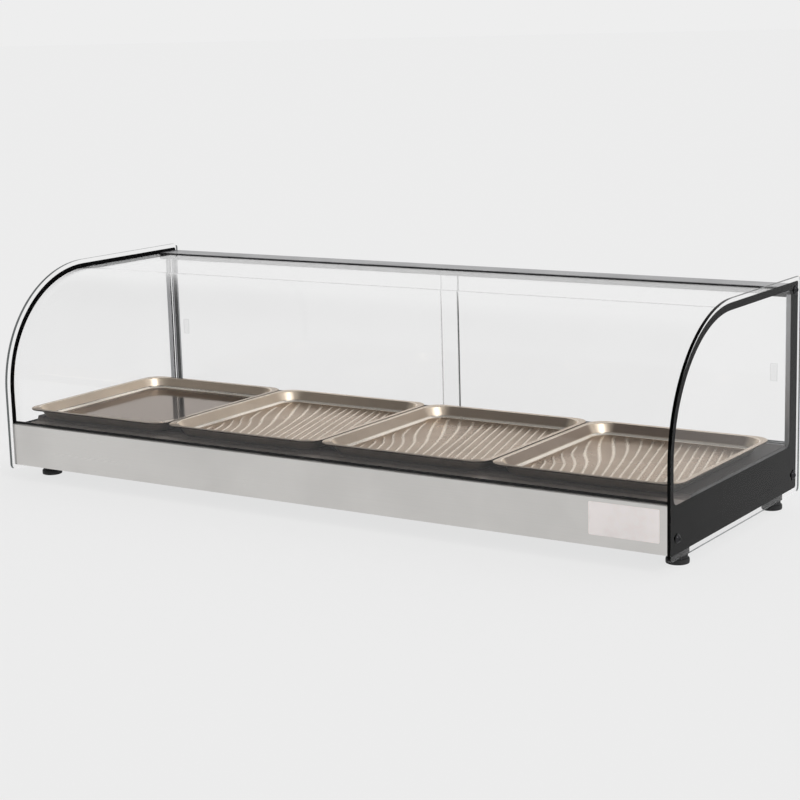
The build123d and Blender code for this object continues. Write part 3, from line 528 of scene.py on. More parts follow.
def make_materials(look):
    """All the materials, by the record's slot, and a few for pieces with a finish of their own."""
    grain_group()
    handling_group()
    speckle_group()
    along, fine, turned = (4.0, 900.0, 900.0), (300.0, 300.0, 300.0), (60.0, 400.0, 400.0)
    clear_glass("clear_glass", look.glass_tint, 1.22, gloss=0.2)
    clear_glass("side_glass", look.glass_tint, 1.15, srgb(40, 44, 44), rim=True)
    clear_glass("door_glass", look.glass_tint, 1.22, srgb(16, 18, 18))
    clear_moulding("clear_plastic", srgb(150, 152, 154))
    gloss_coating("black_print", look.print_black, 0.45, 0.58, specular=0.03, depth=0.000002)
    brushed_metal("brushed_panel", look.steel, along, roughness=0.34, contrast=0.05)
    brushed_metal("rail_steel", look.rail_steel, (5.0, 1100.0, 1100.0))
    brushed_metal("aluminium_track", look.aluminium, (9.0, 900.0, 14.0), roughness=0.36)
    galvanised_sheet("galvanised", look.zinc)
    gloss_coating("black_enamel", look.enamel, 0.3, 0.42, specular=0.01, ledge=look.worn_enamel)
    tray_metal("anodised_tray", look, look.tray_floor, 0.3)
    tray_metal("plain_tray", look, look.plain_floor, 0.09)
    brushed_metal("tray_underside", look.tray_under, (60.0, 60.0, 60.0), roughness=0.34)
    moulded("black_plastic", srgb(34, 34, 36), 0.42, 0.55)
    moulded("white_plastic", srgb(226, 224, 216), 0.45, 0.6)
    moulded("white_ink", srgb(232, 232, 228), 0.5, 0.6, depth=0.00001)
    moulded("rail_rubber", srgb(84, 84, 85), 0.5, 0.62, depth=0.00003)
    moulded("black_rubber", look.rubber, 0.6, 0.78, depth=0.0001)
    brushed_metal("heater_sheath", srgb(96, 92, 88), turned, roughness=0.45)
    brushed_metal("copper_tube", srgb(196, 128, 98), turned)
    wool("insulation_wool", srgb(222, 212, 176))
    lamp_lens("amber_lens", srgb(236, 140, 40))
    gloss_coating("red_rocker", srgb(176, 24, 22), 0.2, 0.32)
    moulded("wire_sleeve", srgb(206, 202, 190), 0.4, 0.5, depth=0.00003)
    brushed_metal("steel_fastener", look.screw, fine)
    brushed_metal("zinc_fastener", srgb(176, 178, 176), fine, roughness=0.32)
    gloss_coating("label_film", srgb(250, 243, 241), 0.3, 0.42)


# Mesh helpers


def new_object(name, mesh, material=None):
    """Object at the origin with one material."""
    made = bpy.data.objects.new(name, mesh)
    bpy.context.scene.collection.objects.link(made)
    if material is not None:
        made.data.materials.clear()
        made.data.materials.append(material)
    return made


def add_tree(piece, group, inputs):
    """Put a geometry nodes modifier on a piece, with its inputs by their names."""
    modifier = piece.modifiers.new(group, "NODES")
    modifier.node_group = bpy.data.node_groups[group]
    for item in modifier.node_group.interface.items_tree:
        if item.item_type == "SOCKET" and item.in_out == "INPUT" and item.name in inputs:
            modifier[item.identifier] = inputs[item.name]


def bake_modifiers(piece):
    """Turn what the modifiers make into the piece's own mesh."""
    bpy.context.view_layer.update()
    graph = bpy.context.evaluated_depsgraph_get()
    mesh = bpy.data.meshes.new_from_object(piece.evaluated_get(graph))
    piece.modifiers.clear()
    if mesh.materials[0] is None:
        mesh.materials.pop(index=0)
        for face in mesh.polygons:
            face.material_index = 0
    piece.data = mesh
    mesh.name = piece.name


def smooth_shade(mesh, crease=35):
    """Shade a mesh smooth, but for its edges sharper than the crease, in degrees."""
    mesh.shade_smooth()
    mesh.set_sharp_from_angle(angle=math.radians(crease))


def finish_mesh(name, mesh, material):
    """Close up a bmesh, turn its faces outwards and make it an object."""
    bmesh.ops.remove_doubles(mesh, verts=mesh.verts, dist=0.000001)
    bmesh.ops.recalc_face_normals(mesh, faces=mesh.faces)
    data = bpy.data.meshes.new(name)
    mesh.to_mesh(data)
    mesh.free()
    smooth_shade(data)
    return new_object(name, data, material)


def skin(mesh, rings, looped=False):
    """Skin a row of rings of points, and close its ends or, looped, join the last ring to the first."""
    made = [[mesh.verts.new(point) for point in ring] for ring in rings]
    for one, other in zip(made, made[1:] + made[:1] if looped else made[1:]):
        for k in range(len(one)):
            after = (k + 1) % len(one)
            mesh.faces.new((one[k], one[after], other[after], other[k]))
    if not looped:
        mesh.faces.new(reversed(made[0]))
        mesh.faces.new(made[-1])


def turned_rings(profile, count, wave=None):
    """Rings round the Z axis through the (radius, height) points of a profile."""
    rings = []
    for radius, height in profile:
        ring = []
        for i in range(count):
            angle = math.tau * i / count
            reach = radius - (wave(radius, height, angle) if wave else 0)
            ring.append(Vector((reach * math.cos(angle), reach * math.sin(angle), height)))
        rings.append(ring)
    return rings


def rounded_rectangle(half_x, half_y, radius, steps, z):
    """Ring of points round a rectangle with round corners."""
    ring = []
    for turn, (side_x, side_y) in enumerate(((1, 1), (-1, 1), (-1, -1), (1, -1))):
        for i in range(steps + 1):
            angle = math.tau / 4 * (turn + i / steps)
            ring.append(Vector((
                side_x * (half_x - radius) + radius * math.cos(angle),
                side_y * (half_y - radius) + radius * math.sin(angle), z,
            )))
    return ring


def rounded_corner(points, radii, steps):
    """Polyline with each inner point rounded by a smooth curve."""
    path = [Vector(points[0])]
    for before, point, after, radius in zip(points, points[1:], points[2:], radii):
        corner = Vector(point)
        start = corner + (Vector(before) - corner).normalized() * radius
        end = corner + (Vector(after) - corner).normalized() * radius
        for i in range(steps + 1):
            t = i / steps
            path.append(start * (1 - t) ** 2 + corner * 2 * t * (1 - t) + end * t ** 2)
    path.append(Vector(points[-1]))
    return path


def close_tree(tree, geometry, value, result):
    """End a tree in Realize Instances and Set Material."""
    real = add_node(tree, "GeometryNodeRealizeInstances", {0: geometry}).outputs[0]
    paint = add_node(tree, "GeometryNodeSetMaterial", {"Geometry": real, "Material": value["Material"]})
    link(tree, paint.outputs[0], result["Geometry"])


# Trays


def ribs_tree():
    """Geometry nodes that press leaning ribs with an S-bend into a flat tray floor, and paint a highlight
    along their crests.
    """
    tree, value, result = new_group("Pressed ribs", "GeometryNodeTree", {
        "Geometry": "NodeSocketGeometry", "Centre": (0.0, 0.0, 0.0), "Floor": 0.0,
        "Half width": 0.09, "Half depth": 0.1, "Fade": 0.006,
        "Pitch": 0.0104, "Width": 0.0048, "Crest": 0.0026, "Height": 0.0009, "Lean": 0.30,
        "Bend shift": 0.010, "Bend reach": 0.034, "Bend place": -0.024, "Bend fade": 0.070,
        "Spread": 0.019, "Spread reach": 0.090, "Polish": 0.5, "Material": "NodeSocketMaterial",
    }, ["Geometry"])
    place = add_node(tree, "GeometryNodeInputPosition").outputs[0]
    away = add_node(tree, "ShaderNodeVectorMath", {0: place, 1: value["Centre"]}, operation="SUBTRACT")
    axes = split(tree, away.outputs[0])

    def inside(distance, reach):
        """1 well inside a reach, down to 0 at its end."""
        left = subtract(tree, reach, calculate(tree, "ABSOLUTE", distance))
        return ramp(tree, left, 0.0, value["Fade"], 0.0, 1.0, smooth=True)

    def at_left(reach):
        """1 at the floor's left edge, down to 0 at a reach from it."""
        return ramp(tree, from_left, 0.0, reach, 1.0, 0.0, smooth=True)

    mask = multiply(tree, inside(axes["X"], value["Half width"]), inside(axes["Y"], value["Half depth"]))
    lean = multiply(tree, axes["Y"], value["Lean"])
    past_bend = subtract(tree, axes["Y"], value["Bend place"])
    back = multiply(tree, value["Bend reach"], -1.0)
    swing = ramp(tree, past_bend, back, value["Bend reach"], -1.0, 1.0, smooth=True)
    from_left = add(tree, axes["X"], value["Half width"])
    bend = multiply(tree, multiply(tree, swing, at_left(value["Bend fade"])), value["Bend shift"])
    spaced = multiply(tree, at_left(value["Spread reach"]), value["Spread"])
    across = add(tree, add(tree, add(tree, axes["X"], lean), bend), spaced)
    nearest = calculate(tree, "PINGPONG", across, multiply(tree, value["Pitch"], 0.5))
    half_width = multiply(tree, value["Width"], 0.5)
    rib = ramp(tree, nearest, 0.0, half_width, value["Height"], 0.0, smooth=True)
    half_crest = multiply(tree, value["Crest"], 0.5)
    flat = multiply(tree, half_crest, 0.5)
    # Painted highlight: mask of the bright line along each rib's crest
    bright = multiply(tree, ramp(tree, nearest, flat, half_crest, 1.0, 0.0), mask)
    height = subtract(tree, split(tree, place)["Z"], value["Floor"])
    on_floor = calculate(tree, "LESS_THAN", calculate(tree, "ABSOLUTE", height), 0.00002)
    offset = add_node(tree, "ShaderNodeCombineXYZ", {"Z": multiply(tree, rib, mask)}).outputs[0]
    store = add_node(tree, "GeometryNodeStoreNamedAttribute", {
        "Geometry": value["Geometry"], "Name": "polish",
        "Selection": multiply(tree, on_floor, calculate(tree, "GREATER_THAN", value["Height"], 0.0)),
        "Value": ramp(tree, bright, 0.0, 1.0, value["Polish"], 1.0),
    }, data_type="FLOAT", domain="POINT")
    press = add_node(tree, "GeometryNodeSetPosition", {
        "Geometry": store.outputs[0], "Selection": on_floor, "Offset": offset,
    })
    close_tree(tree, press.outputs[0], value, result)


def pressed_tray(name, node, sizes, ribbed, material, underside):
    """One pressed tray: turned lip, flange, sloping walls, soft foot and a floor grid."""
    low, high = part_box(node)
    centre = (low + high) / 2
    half_x = (high.x - low.x) / 2
    half_y = (high.y - low.y) / 2
    flange, taper, lip_drop, foot_run = 0.005, 0.008, 0.0016, 0.0055
    lip_round, flange_round, foot_round, round_steps = 0.0006, 0.0012, 0.0038, 5
    corner, corner_gain, highlight_gain = 0.021, 0.013, 2.4
    front_band, front_fade, front_shading = 0.012, 0.006, 0.85
    flange_end = flange + sizes.sheet + 0.0004
    floor = low.z + sizes.sheet
    wall_foot = flange + sizes.sheet + taper
    profile = rounded_corner(
        [(0.0, high.z - lip_drop), (0.0, high.z), (flange + sizes.sheet, high.z), (wall_foot, floor),
         (wall_foot + foot_run, floor)],
        [lip_round, flange_round, foot_round], round_steps,
    )
    # Painted shade on the lip at 0, and painted highlights at 1 on the bend from flange to wall and at the
    # wall's foot
    polish = [0.0] * 4 + [flange_polish] * 4 + [1.0] * 2 + [wall_polish] * 4 + [1.0] * 3
    polish += [floor_polish] * (len(profile) - len(polish))
    inner_x = half_x - wall_foot - foot_run
    inner_y = half_y - wall_foot - foot_run
    columns = round(2 * inner_x / sizes.column)
    rows = round(2 * inner_y / sizes.row)
    mesh = bmesh.new()
    shine = mesh.verts.layers.float.new("polish")
    grid = [
        [mesh.verts.new((centre.x + inner_x * (2 * i / columns - 1),
                         centre.y + inner_y * (2 * j / rows - 1), floor)) for i in range(columns + 1)]
        for j in range(rows + 1)
    ]
    for line in grid:
        for vertex in line:
            vertex[shine] = floor_polish
    for j in range(rows):
        for i in range(columns):
            mesh.faces.new((grid[j][i], grid[j][i + 1], grid[j + 1][i + 1], grid[j + 1][i]))
    edge = [grid[0][i] for i in range(columns)]
    edge += [grid[j][columns] for j in range(rows)]
    edge += [grid[rows][i] for i in range(columns, 0, -1)]
    edge += [grid[j][0] for j in range(rows, 0, -1)]
    inside = edge
    for (inset, z), shining in reversed(list(zip(profile, polish))[:-1]):
        radius = corner - inset + corner_gain * min(inset / flange_end, 1)
        reach_x = half_x - inset
        reach_y = half_y - inset
        ring = []
        for vertex in edge:
            x = (vertex.co.x - centre.x) / inner_x * reach_x
            y = (vertex.co.y - centre.y) / inner_y * reach_y
            past = Vector((abs(x) - reach_x + radius, abs(y) - reach_y + radius))
            # Painted highlight on the corners of the walls
            highlighted = 0.0
            if past.x > 0 and past.y > 0:
                if shining == wall_polish:
                    highlighted = min(highlight_gain * min(past.x, past.y) / past.length, 1.0)
                past = past.normalized() * radius
                x = math.copysign(reach_x - radius + past.x, x)
                y = math.copysign(reach_y - radius + past.y, y)
            # Painted shade: the flange darkens towards the lip's colour at the front
            at_front = 0.0
            if inset < flange_end:
                at_front = min(max((-y - reach_y + front_band) / front_fade, 0.0), 1.0)
            made = mesh.verts.new((centre.x + x, centre.y + y, z))
            made[shine] = (shining + (corner_highlight_level - shining) * highlighted) * (1 - front_shading * at_front)
            ring.append(made)
        for k in range(len(ring)):
            after = (k + 1) % len(ring)
            mesh.faces.new((inside[k], ring[k], ring[after], inside[after]))
        inside = ring
    bmesh.ops.recalc_face_normals(mesh, faces=mesh.faces)
    data = bpy.data.meshes.new(name)
    mesh.to_mesh(data)
    mesh.free()
    tray = new_object(name, data, material)
    data.materials.append(underside)
    if data.polygons[0].normal.z < 0:
        data.flip_normals()
    add_tree(tray, "Pressed ribs", {
        "Centre": tuple(centre), "Floor": floor, "Half width": inner_x, "Half depth": inner_y,
        "Pitch": sizes.rib_pitch, "Width": sizes.rib_width, "Crest": sizes.crest_width,
        "Height": sizes.rib_height if ribbed else 0.0, "Lean": sizes.rib_lean,
        "Bend shift": sizes.bend_shift, "Bend reach": sizes.bend_reach, "Bend place": sizes.bend_place,
        "Bend fade": sizes.bend_fade, "Spread": sizes.spread, "Spread reach": sizes.spread_reach,
        "Polish": floor_polish, "Material": material,
    })
    wall = tray.modifiers.new("Sheet", "SOLIDIFY")
    wall.thickness = sizes.sheet
    wall.offset = -1
    wall.material_offset = 1
    wall.material_offset_rim = 1
    bake_modifiers(tray)
    tray.data.shade_smooth()
    return tray


# Bent glass, screws, knob and figures


def bent_sheet_tree():
    """Geometry nodes that sweep a flat section with blunted edges along a path with one round bend."""
    tree, value, result = new_group("Bent sheet", "GeometryNodeTree", {
        "Geometry": "NodeSocketGeometry", "Lower end": (0.0, 0.0, 0.0), "Corner": (0.0, 0.0, 1.0),
        "Upper end": (0.0, 1.0, 1.0), "Radius": 0.14, "Width": 0.9, "Thickness": 0.003, "Arris": 0.0004,
        "Material": "NodeSocketMaterial",
    }, ["Geometry"])

    def make(kind, inputs=None, **settings):
        return add_node(tree, kind, inputs, **settings).outputs[0]

    path = make("GeometryNodeCurvePrimitiveLine", {"Start": value["Lower end"], "End": value["Upper end"]})
    three = make("GeometryNodeResampleCurve", {"Count": 3, "Curve": path})
    index = make("GeometryNodeInputIndex")
    middle = make("FunctionNodeCompare", {2: index, 3: 1}, data_type="INT", operation="EQUAL")
    corner = make("GeometryNodeSetPosition", {
        "Geometry": three, "Selection": middle, "Position": value["Corner"],
    })
    bend = make("GeometryNodeFilletCurve", {
        "Count": 64, "Limit Radius": False, "Curve": corner, "Radius": value["Radius"],
    }, mode="POLY")
    section = make("GeometryNodeCurvePrimitiveQuadrilateral", {
        "Width": value["Width"], "Height": value["Thickness"],
    })
    blunt = make("GeometryNodeFilletCurve", {
        "Count": 2, "Curve": section, "Radius": value["Arris"],
    }, mode="POLY")
    sweep = make("GeometryNodeCurveToMesh", {"Fill Caps": True, "Curve": bend, "Profile Curve": blunt})
    close_tree(tree, sweep, value, result)


def screw_tree():
    """Geometry nodes that put a round headed screw with a cross recess on each point, as it faces."""
    tree, value, result = new_group("Cross recessed screws", "GeometryNodeTree", {
        "Geometry": "NodeSocketGeometry", "Radius": 0.0042, "Height": 0.0026, "Recess": 0.004,
        "Shank radius": 0.002, "Shank length": 0.012, "Material": "NodeSocketMaterial",
    }, ["Geometry"])

    def make(kind, inputs=None, **settings):
        return add_node(tree, kind, inputs, **settings).outputs[0]

    def times(*factors):
        return multiply(tree, *factors)

    def moved(geometry, z):
        shift = make("ShaderNodeCombineXYZ", {"Z": z})
        return make("GeometryNodeTransform", {"Geometry": geometry, "Translation": shift})

    def block(x, y, z):
        size = make("ShaderNodeCombineXYZ", {"X": x, "Y": y, "Z": z})
        return make("GeometryNodeMeshCube", {"Size": size})

    def cut(body, *tools):
        node = add_node(tree, "GeometryNodeMeshBoolean", {"Mesh 1": body}, operation="DIFFERENCE")
        for tool in tools:
            link(tree, tool, node.inputs["Mesh 2"])
        return node.outputs[0]

    radius, height, recess, shank_length = (
        value[name] for name in ("Radius", "Height", "Recess", "Shank length")
    )
    square = add(tree, calculate(tree, "POWER", radius, 2.0), calculate(tree, "POWER", height, 2.0))
    crown = calculate(tree, "DIVIDE", square, times(height, 2.0))
    ball = make("GeometryNodeMeshUVSphere", {"Segments": 48, "Rings": 32, "Radius": crown})
    dome = moved(ball, subtract(tree, height, crown))
    wide = times(radius, 6.0)
    below = moved(block(wide, wide, wide), times(wide, -0.5))
    slim = times(recess, 0.24)
    deep = times(height, 1.3)
    slots = [moved(block(*size), height) for size in ((recess, slim, deep), (slim, recess, deep))]
    head = cut(dome, below, *slots)
    shank = make("GeometryNodeMeshCylinder", {
        "Vertices": 32, "Radius": value["Shank radius"], "Depth": shank_length,
    })
    join = add_node(tree, "GeometryNodeJoinGeometry", {0: head})
    link(tree, moved(shank, times(shank_length, -0.5)), join.inputs[0])
    facing = make("GeometryNodeInputNamedAttribute", {"Name": "facing"}, data_type="FLOAT_VECTOR")
    turn = make("FunctionNodeAlignRotationToVector", {"Vector": facing}, axis="Z")
    copies = make("GeometryNodeInstanceOnPoints", {
        "Points": value["Geometry"], "Instance": join.outputs[0], "Rotation": turn,
    })
    close_tree(tree, copies, value, result)


def islands(node):
    """Lowest and highest corners of each loose part of a node's mesh."""
    mesh = bmesh.new()
    mesh.from_mesh(nodes[node].data)
    bmesh.ops.remove_doubles(mesh, verts=mesh.verts, dist=0.000001)
    left = set(mesh.verts)
    boxes = []
    while left:
        wave = [left.pop()]
        part = list(wave)
        while wave:
            vertex = wave.pop()
            for near in (edge.other_vert(vertex) for edge in vertex.link_edges):
                if near in left:
                    left.discard(near)
                    wave.append(near)
                    part.append(near)
        boxes.append((Vector([min(v.co[i] for v in part) for i in range(3)]),
                      Vector([max(v.co[i] for v in part) for i in range(3)])))
    mesh.free()
    return sorted(boxes, key=lambda box: tuple(box[0]))


def figure_mesh(words, size, place, right, up, depth):
    """Raised figures standing on a face, as a mesh in its place."""
    curve = bpy.data.curves.new("figure", "FONT")
    curve.body = words
    curve.size = size
    curve.align_x = "CENTER"
    curve.align_y = "CENTER"
    curve.extrude = depth / 2
    curve.resolution_u = 3
    carrier = bpy.data.objects.new("figure", curve)
    mesh = bpy.data.meshes.new_from_object(carrier)
    out = right.cross(up)
    turn = Matrix((right, up, out)).transposed().to_4x4()
    mesh.transform(Matrix.Translation(place + out * depth / 2) @ turn)
    bpy.data.objects.remove(carrier)
    bpy.data.curves.remove(curve)
    return mesh


def knob_seat():
    """Middle of the knob's foot, the turn and place that stand it there, and its radius."""
    low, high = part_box("thermostat_knob")
    middle = Vector(((low.x + high.x) / 2, low.y, (low.z + high.z) / 2))
    stand = Matrix.Translation(middle) @ Matrix.Rotation(math.radians(-90), 4, "X")
    return middle, stand, (high.x - low.x) / 2


# Operators


class DISPLAY_CASE_OT_finishes(bpy.types.Operator):
    """Give every node of the case its material"""

    bl_idname = "display_case.finishes"
    bl_label = "Apply the finishes"

    def execute(self, context):
        make_materials(context.scene.case_finish)
        for part in frame["record"]["subparts"]:
            name = special_finish.get(part["node"], part["material_slot"])
            nodes[part["node"]].material_slots[0].material = bpy.data.materials[name]
        return {"FINISHED"}


class DISPLAY_CASE_OT_trays(bpy.types.Operator):
    """Make the four pressed trays, three of them ribbed"""

    bl_idname = "display_case.trays"
    bl_label = "Make the trays"

    def execute(self, context):
        sizes = context.scene.case_trays
        ribs_tree()
        for number in range(1, 5):
            node = f"tray_{number}"
            plain = number == sizes.plain_tray
            material = bpy.data.materials["plain_tray" if plain else "anodised_tray"]
            underside = bpy.data.materials["tray_underside"]
            tray = pressed_tray(f"pressed_tray_{number}", node, sizes, not plain, material, underside)
            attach(tray, node)
            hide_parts(node)
        return {"FINISHED"}


class DISPLAY_CASE_OT_front_glass(bpy.types.Operator):
    """Bend the front glass from one sheet"""

    bl_idname = "display_case.front_glass"
    bl_label = "Make the front glass"

    def execute(self, context):
        sizes = context.scene.case_fittings
        bent_sheet_tree()
        low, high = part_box("front_glass")
        glass = new_object("bent_glass", bpy.data.meshes.new("bent_glass"))
        half = sizes.glass_thickness / 2
        middle = (low.x + high.x) / 2
        add_tree(glass, "Bent sheet", {
            "Lower end": (middle, low.y + half, low.z), "Corner": (middle, low.y + half, high.z - half),
            "Upper end": (middle, high.y, high.z - half), "Radius": sizes.glass_bend - half,
            "Width": high.x - low.x, "Thickness": sizes.glass_thickness, "Arris": sizes.glass_arris,
            "Material": bpy.data.materials["clear_glass"],
        })
        bake_modifiers(glass)
        smooth_shade(glass.data, crease=8)
        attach(glass, "cabinet")
        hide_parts("front_glass")
        return {"FINISHED"}


class DISPLAY_CASE_OT_rail_lip(bpy.types.Operator):
    """Hang the rubber lip under the top rail"""

    bl_idname = "display_case.rail_lip"
    bl_label = "Make the rail's lip"

    def execute(self, context):
        low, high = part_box("top_rail")
        end_gap = 0.0004
        reach = high.x - end_gap
        tip = -context.scene.case_fittings.lip_drop
        outline = [
            (0.0006, 0.0022), (0.0006, tip + 0.0006), (0.0009, tip + 0.0001), (0.0014, tip),
            (0.0019, tip + 0.0001), (0.0022, tip + 0.0006), (0.0019, 0.0022),
        ]
        mesh = bmesh.new()
        skin(mesh, [[(x, low.y + y, low.z + z) for y, z in outline] for x in (-reach, reach)])
        lip = finish_mesh("rail_lip", mesh, bpy.data.materials["rail_rubber"])
        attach(lip, "cabinet")
        return {"FINISHED"}


class DISPLAY_CASE_OT_screws(bpy.types.Operator):
    """Make the screws that hold the side panes"""

    bl_idname = "display_case.screws"
    bl_label = "Make the pane screws"

    def execute(self, context):
        sizes = context.scene.case_fittings
        screw_tree()
        for side, outward in (("left", -1), ("right", 1)):
            boxes = [box for box in islands("pane_screws") if box[0].x * outward > 0]
            boxes.sort(key=lambda box: box[0].x - box[1].x)
            places = []
            for low, high in boxes:
                seat = (high.x if outward > 0 else low.x) - outward * sizes.head_height
                places.append(Vector((seat, (low.y + high.y) / 2, (low.z + high.z) / 2)))
            name = f"pane_screws_{side}"
            mesh = bpy.data.meshes.new(name)
            mesh.from_pydata(places, [], [])
            for item in mesh.attributes.new("facing", "FLOAT_VECTOR", "POINT").data:
                item.vector = (outward, 0, 0)
            screws = new_object(name, mesh)
            add_tree(screws, "Cross recessed screws", {
                "Radius": sizes.head_radius, "Height": sizes.head_height, "Recess": sizes.recess,
                "Shank radius": sizes.shank_radius, "Shank length": sizes.shank_length,
                "Material": bpy.data.materials["steel_fastener"],
            })
            bake_modifiers(screws)
            smooth_shade(screws.data)
            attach(screws, "cabinet")
            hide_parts("pane_screws")
        return {"FINISHED"}


class DISPLAY_CASE_OT_feet(bpy.types.Operator):
    """Make the four moulded rubber feet"""

    bl_idname = "display_case.feet"
    bl_label = "Make the feet"

    def execute(self, context):
        for corner in ("front_left", "rear_left", "front_right", "rear_right"):
            node = f"foot_{corner}"
            low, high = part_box(node)
            centre = (low + high) / 2
            place = Vector((centre.x, centre.y, low.z))
            radius = (high.x - low.x) / 2
            height = high.z - low.z
            rise, bore, seat = 0.0094, 0.0055, 0.0023
            neck = radius * 0.85
            profile = [
                (seat, rise), (bore - 0.0006, rise), (bore, rise - 0.0006), (bore, 0.0008),
                (bore + 0.0008, 0.0), (radius - 0.0012, 0.0), (radius - 0.0003, 0.0004), (radius, 0.0013),
                (radius, 0.0044), (radius - 0.0004, 0.0056), (neck + 0.0004, 0.0063), (neck, 0.0074),
                (neck, height - 0.0010), (neck - 0.0008, height), (seat, height),
            ]
            mesh = bmesh.new()
            rings = turned_rings(profile, 64)
            skin(mesh, [[point + place for point in ring] for ring in rings], looped=True)
            foot = finish_mesh(f"rubber_{node}", mesh, bpy.data.materials["black_rubber"])
            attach(foot, "cabinet")
            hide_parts(node)
        return {"FINISHED"}


class DISPLAY_CASE_OT_knob(bpy.types.Operator):
    """Make the thermostat's fluted knob"""

    bl_idname = "display_case.knob"
    bl_label = "Make the knob"

    def execute(self, context):
        flutes = context.scene.case_fittings.flutes
        stand, radius = knob_seat()[1:]
        skirt, grip, top = knob_skirt, knob_grip, knob_height
        bore, bore_depth, flute_depth = 0.003, 0.0110, 0.0009

        def groove(reach, height, angle):
            """Depth of the finger grooves, cut in the grip alone."""
            if height <= skirt + 0.0004 or reach < grip - 0.003:
                return 0
            return flute_depth * max(0.0, math.cos(flutes * angle)) ** 3

        profile = [
            (bore, bore_depth), (bore, 0.0), (radius - 0.0006, 0.0), (radius, 0.0006),
            (radius, skirt - 0.0016), (radius - 0.0004, skirt - 0.0009), (grip + 0.0009, skirt),
            (grip + 0.0002, skirt + 0.0004), (grip, skirt + 0.001), (grip - 0.0005, top - 0.0016),
            (grip - 0.0009, top - 0.0006), (grip - 0.0017, top), (grip - 0.0035, top),
            (grip - 0.0045, top - 0.0003), (0.0006, top - 0.0004),
        ]
        mesh = bmesh.new()
        skin(mesh, turned_rings(profile, 144, groove))
        bmesh.ops.transform(mesh, matrix=stand, verts=mesh.verts)
        knob = finish_mesh("fluted_knob", mesh, bpy.data.materials["black_plastic"])
        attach(knob, "knob")
        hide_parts("thermostat_knob")
        return {"FINISHED"}


class DISPLAY_CASE_OT_dial_figures(bpy.types.Operator):
    """Set the figures on the knob's skirt and the pointer line on its top"""

    bl_idname = "display_case.dial_figures"
    bl_label = "Make the dial's figures"

    def execute(self, context):
        sizes = context.scene.case_fittings
        middle, stand, radius = knob_seat()
        figure_depth, sunk, from_edge = 0.0005, 0.0008, 0.0017
        line_half_width, line_half_length, line_round, line_place = 0.0007, 0.0037, 0.0005, -0.0052
        line_foot, line_top = knob_height - 0.0005, knob_height + 0.0001
        whole = bmesh.new()
        for figure in range(sizes.dial_last + 1):
            angle = figure * sizes.dial_sweep / sizes.dial_last
            up = Vector((math.sin(angle), 0, math.cos(angle)))
            spot = middle + Vector((0, knob_skirt - sunk, 0)) + up * (radius - from_edge)
            right = up.cross(Vector((0, 1, 0)))
            raised = figure_mesh(str(figure), sizes.dial_digit, spot, right, up, figure_depth)
            whole.from_mesh(raised)
            bpy.data.meshes.remove(raised)
        bar = bmesh.new()
        skin(bar, [rounded_rectangle(line_half_width, line_half_length, line_round, 3, z)
                   for z in (line_foot, line_top)])
        shift = Matrix.Translation((0, line_place, 0))
        bmesh.ops.transform(bar, matrix=stand @ shift, verts=bar.verts)
        line = bpy.data.meshes.new("line")
        bar.to_mesh(line)
        bar.free()
        whole.from_mesh(line)
        bpy.data.meshes.remove(line)
        numbers = finish_mesh("dial_figures", whole, bpy.data.materials["white_ink"])
        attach(numbers, "knob")
        return {"FINISHED"}


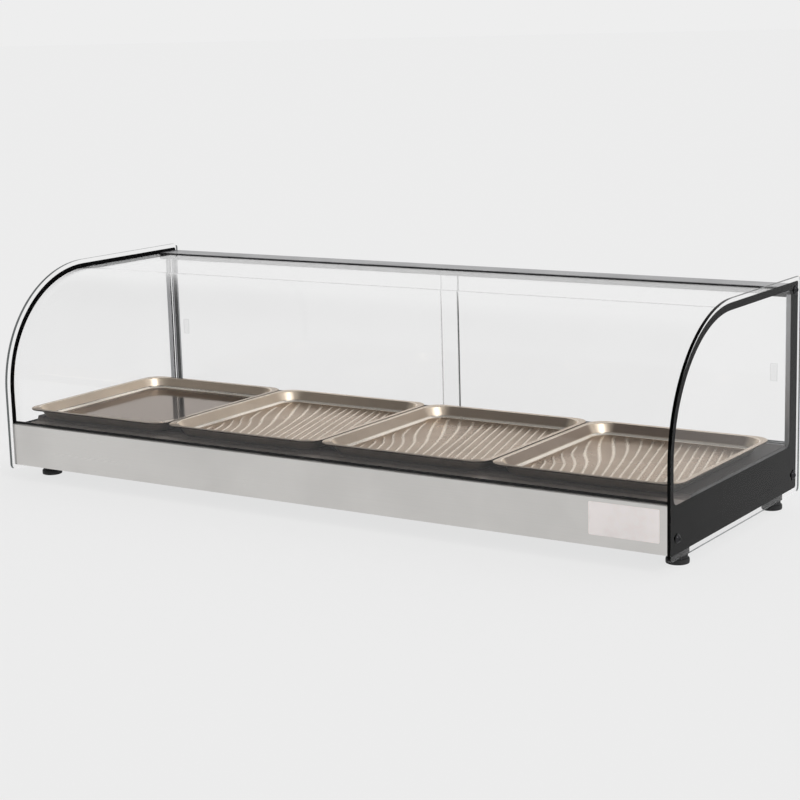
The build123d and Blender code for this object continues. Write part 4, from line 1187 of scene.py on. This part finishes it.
class DISPLAY_CASE_OT_studio(bpy.types.Operator):
    """Set the floor, the light and the camera"""

    bl_idname = "display_case.studio"
    bl_label = "Set the studio"

    def execute(self, context):
        studio = context.scene.case_studio
        self.lay_floor(studio)
        self.light(context, studio)
        self.place_camera(context, studio)
        return {"FINISHED"}

    def lay_floor(self, studio):
        """Large pale floor, level with the soles of the feet, that runs into the backdrop."""
        reach = 60.0
        mesh = bpy.data.meshes.new("floor")
        corners = [(-reach, -reach, 0), (reach, -reach, 0), (reach, reach, 0), (-reach, reach, 0)]
        mesh.from_pydata(corners, [], [(0, 1, 2, 3)])
        tree, shader = new_material("floor")
        finish(tree, shader, studio.floor, 0.9, Specular_IOR_Level=0.0)
        glow = add_node(tree, "ShaderNodeEmission", {"Color": studio.background})
        share = multiply(tree, seen_rays(tree)[0], studio.floor_glow)
        mixed = mix_shaders(tree, share, shader.outputs[0], glow.outputs[0])
        link(tree, mixed, tree.nodes["Material Output"].inputs["Surface"])
        new_object("floor", mesh, bpy.data.materials["floor"])

    def light(self, context, studio):
        """Even dome, the backdrop as it is seen, a darker side for reflections and a soft key light."""
        world = bpy.data.worlds.new("studio")
        context.scene.world = world
        world.use_nodes = True
        tree = world.node_tree
        backdrop = tree.nodes["Background"]
        link(tree, studio.background, backdrop.inputs["Color"])
        where = add_node(tree, "ShaderNodeTexCoord").outputs["Generated"]
        dark_side = Vector((-0.5, -0.6, 0.62)).normalized()
        towards = add_node(tree, "ShaderNodeVectorMath", {0: where, 1: dark_side}, operation="DOT_PRODUCT")
        dark = ramp(tree, towards.outputs["Value"], 0.2, 0.8, 1.0, studio.shade, smooth=True)
        shaded = blend_colour(tree, dark, (0, 0, 0), studio.background)
        room = add_node(tree, "ShaderNodeBackground", {"Color": shaded})
        dome = add_node(tree, "ShaderNodeBackground", {"Color": dark, "Strength": studio.dome})
        seen, mirrored = seen_rays(tree)
        around = mix_shaders(tree, mirrored, backdrop.outputs[0], room.outputs[0])
        mixed = mix_shaders(tree, seen, dome.outputs[0], around)
        link(tree, mixed, tree.nodes["World Output"].inputs["Surface"])
        lamp_side, lamp_spread = Vector((0.55, -0.28, 0.74)), math.radians(25)
        lamp = bpy.data.lights.new("key", "SUN")
        lamp.energy = studio.sun
        lamp.angle = lamp_spread
        key = bpy.data.objects.new("key", lamp)
        key.rotation_euler = lamp_side.to_track_quat("Z", "Y").to_euler()
        context.scene.collection.objects.link(key)

    def place_camera(self, context, studio):
        """Camera at the height and angle of the photograph."""
        forward = Vector(studio.camera_aim).normalized()
        level = forward.cross(Vector((0, 0, 1))).normalized()
        upright = level.cross(forward)
        roll = studio.camera_roll
        right = level * math.cos(roll) + upright * math.sin(roll)
        up = upright * math.cos(roll) - level * math.sin(roll)
        turn = Matrix((right, up, -forward)).transposed().to_4x4()
        data = bpy.data.cameras.new("camera")
        data.sensor_width = 36
        data.lens = studio.lens
        camera = bpy.data.objects.new("camera", data)
        camera.matrix_world = Matrix.Translation(studio.camera_place) @ turn
        context.scene.collection.objects.link(camera)
        context.scene.camera = camera
        context.scene.view_settings.view_transform = "Standard"


class DISPLAY_CASE_PT_panel(bpy.types.Panel):
    """Steps that dress the display case"""

    bl_idname = "DISPLAY_CASE_PT_panel"
    bl_label = "Display case"
    bl_space_type = "VIEW_3D"
    bl_region_type = "UI"
    bl_category = "Display case"

    def draw(self, context):
        for step in steps:
            self.layout.operator(step.bl_idname)
        for name, group in settings:
            box = self.layout.box()
            for setting in group.__annotations__:
                box.prop(getattr(context.scene, name), setting)


steps = (
    DISPLAY_CASE_OT_studio,
    DISPLAY_CASE_OT_finishes,
    DISPLAY_CASE_OT_trays,
    DISPLAY_CASE_OT_front_glass,
    DISPLAY_CASE_OT_rail_lip,
    DISPLAY_CASE_OT_screws,
    DISPLAY_CASE_OT_feet,
    DISPLAY_CASE_OT_knob,
    DISPLAY_CASE_OT_dial_figures,
)
settings = (
    ("case_finish", DisplayCaseFinish),
    ("case_trays", DisplayCaseTrays),
    ("case_fittings", DisplayCaseFittings),
    ("case_studio", DisplayCaseStudio),
)


def register():
    for name, group in settings:
        bpy.utils.register_class(group)
        setattr(bpy.types.Scene, name, PointerProperty(type=group))
    for step in steps:
        bpy.utils.register_class(step)
    bpy.utils.register_class(DISPLAY_CASE_PT_panel)


def unregister():
    bpy.utils.unregister_class(DISPLAY_CASE_PT_panel)
    for step in reversed(steps):
        bpy.utils.unregister_class(step)
    for name, group in reversed(settings):
        delattr(bpy.types.Scene, name)
        bpy.utils.unregister_class(group)


def main():
    register()
    bpy.ops.display_case.studio()
    bpy.ops.display_case.finishes()
    bpy.ops.display_case.trays()
    bpy.ops.display_case.front_glass()
    bpy.ops.display_case.rail_lip()
    bpy.ops.display_case.screws()
    bpy.ops.display_case.feet()
    bpy.ops.display_case.knob()
    bpy.ops.display_case.dial_figures()


if __name__ == "__main__":
    main()
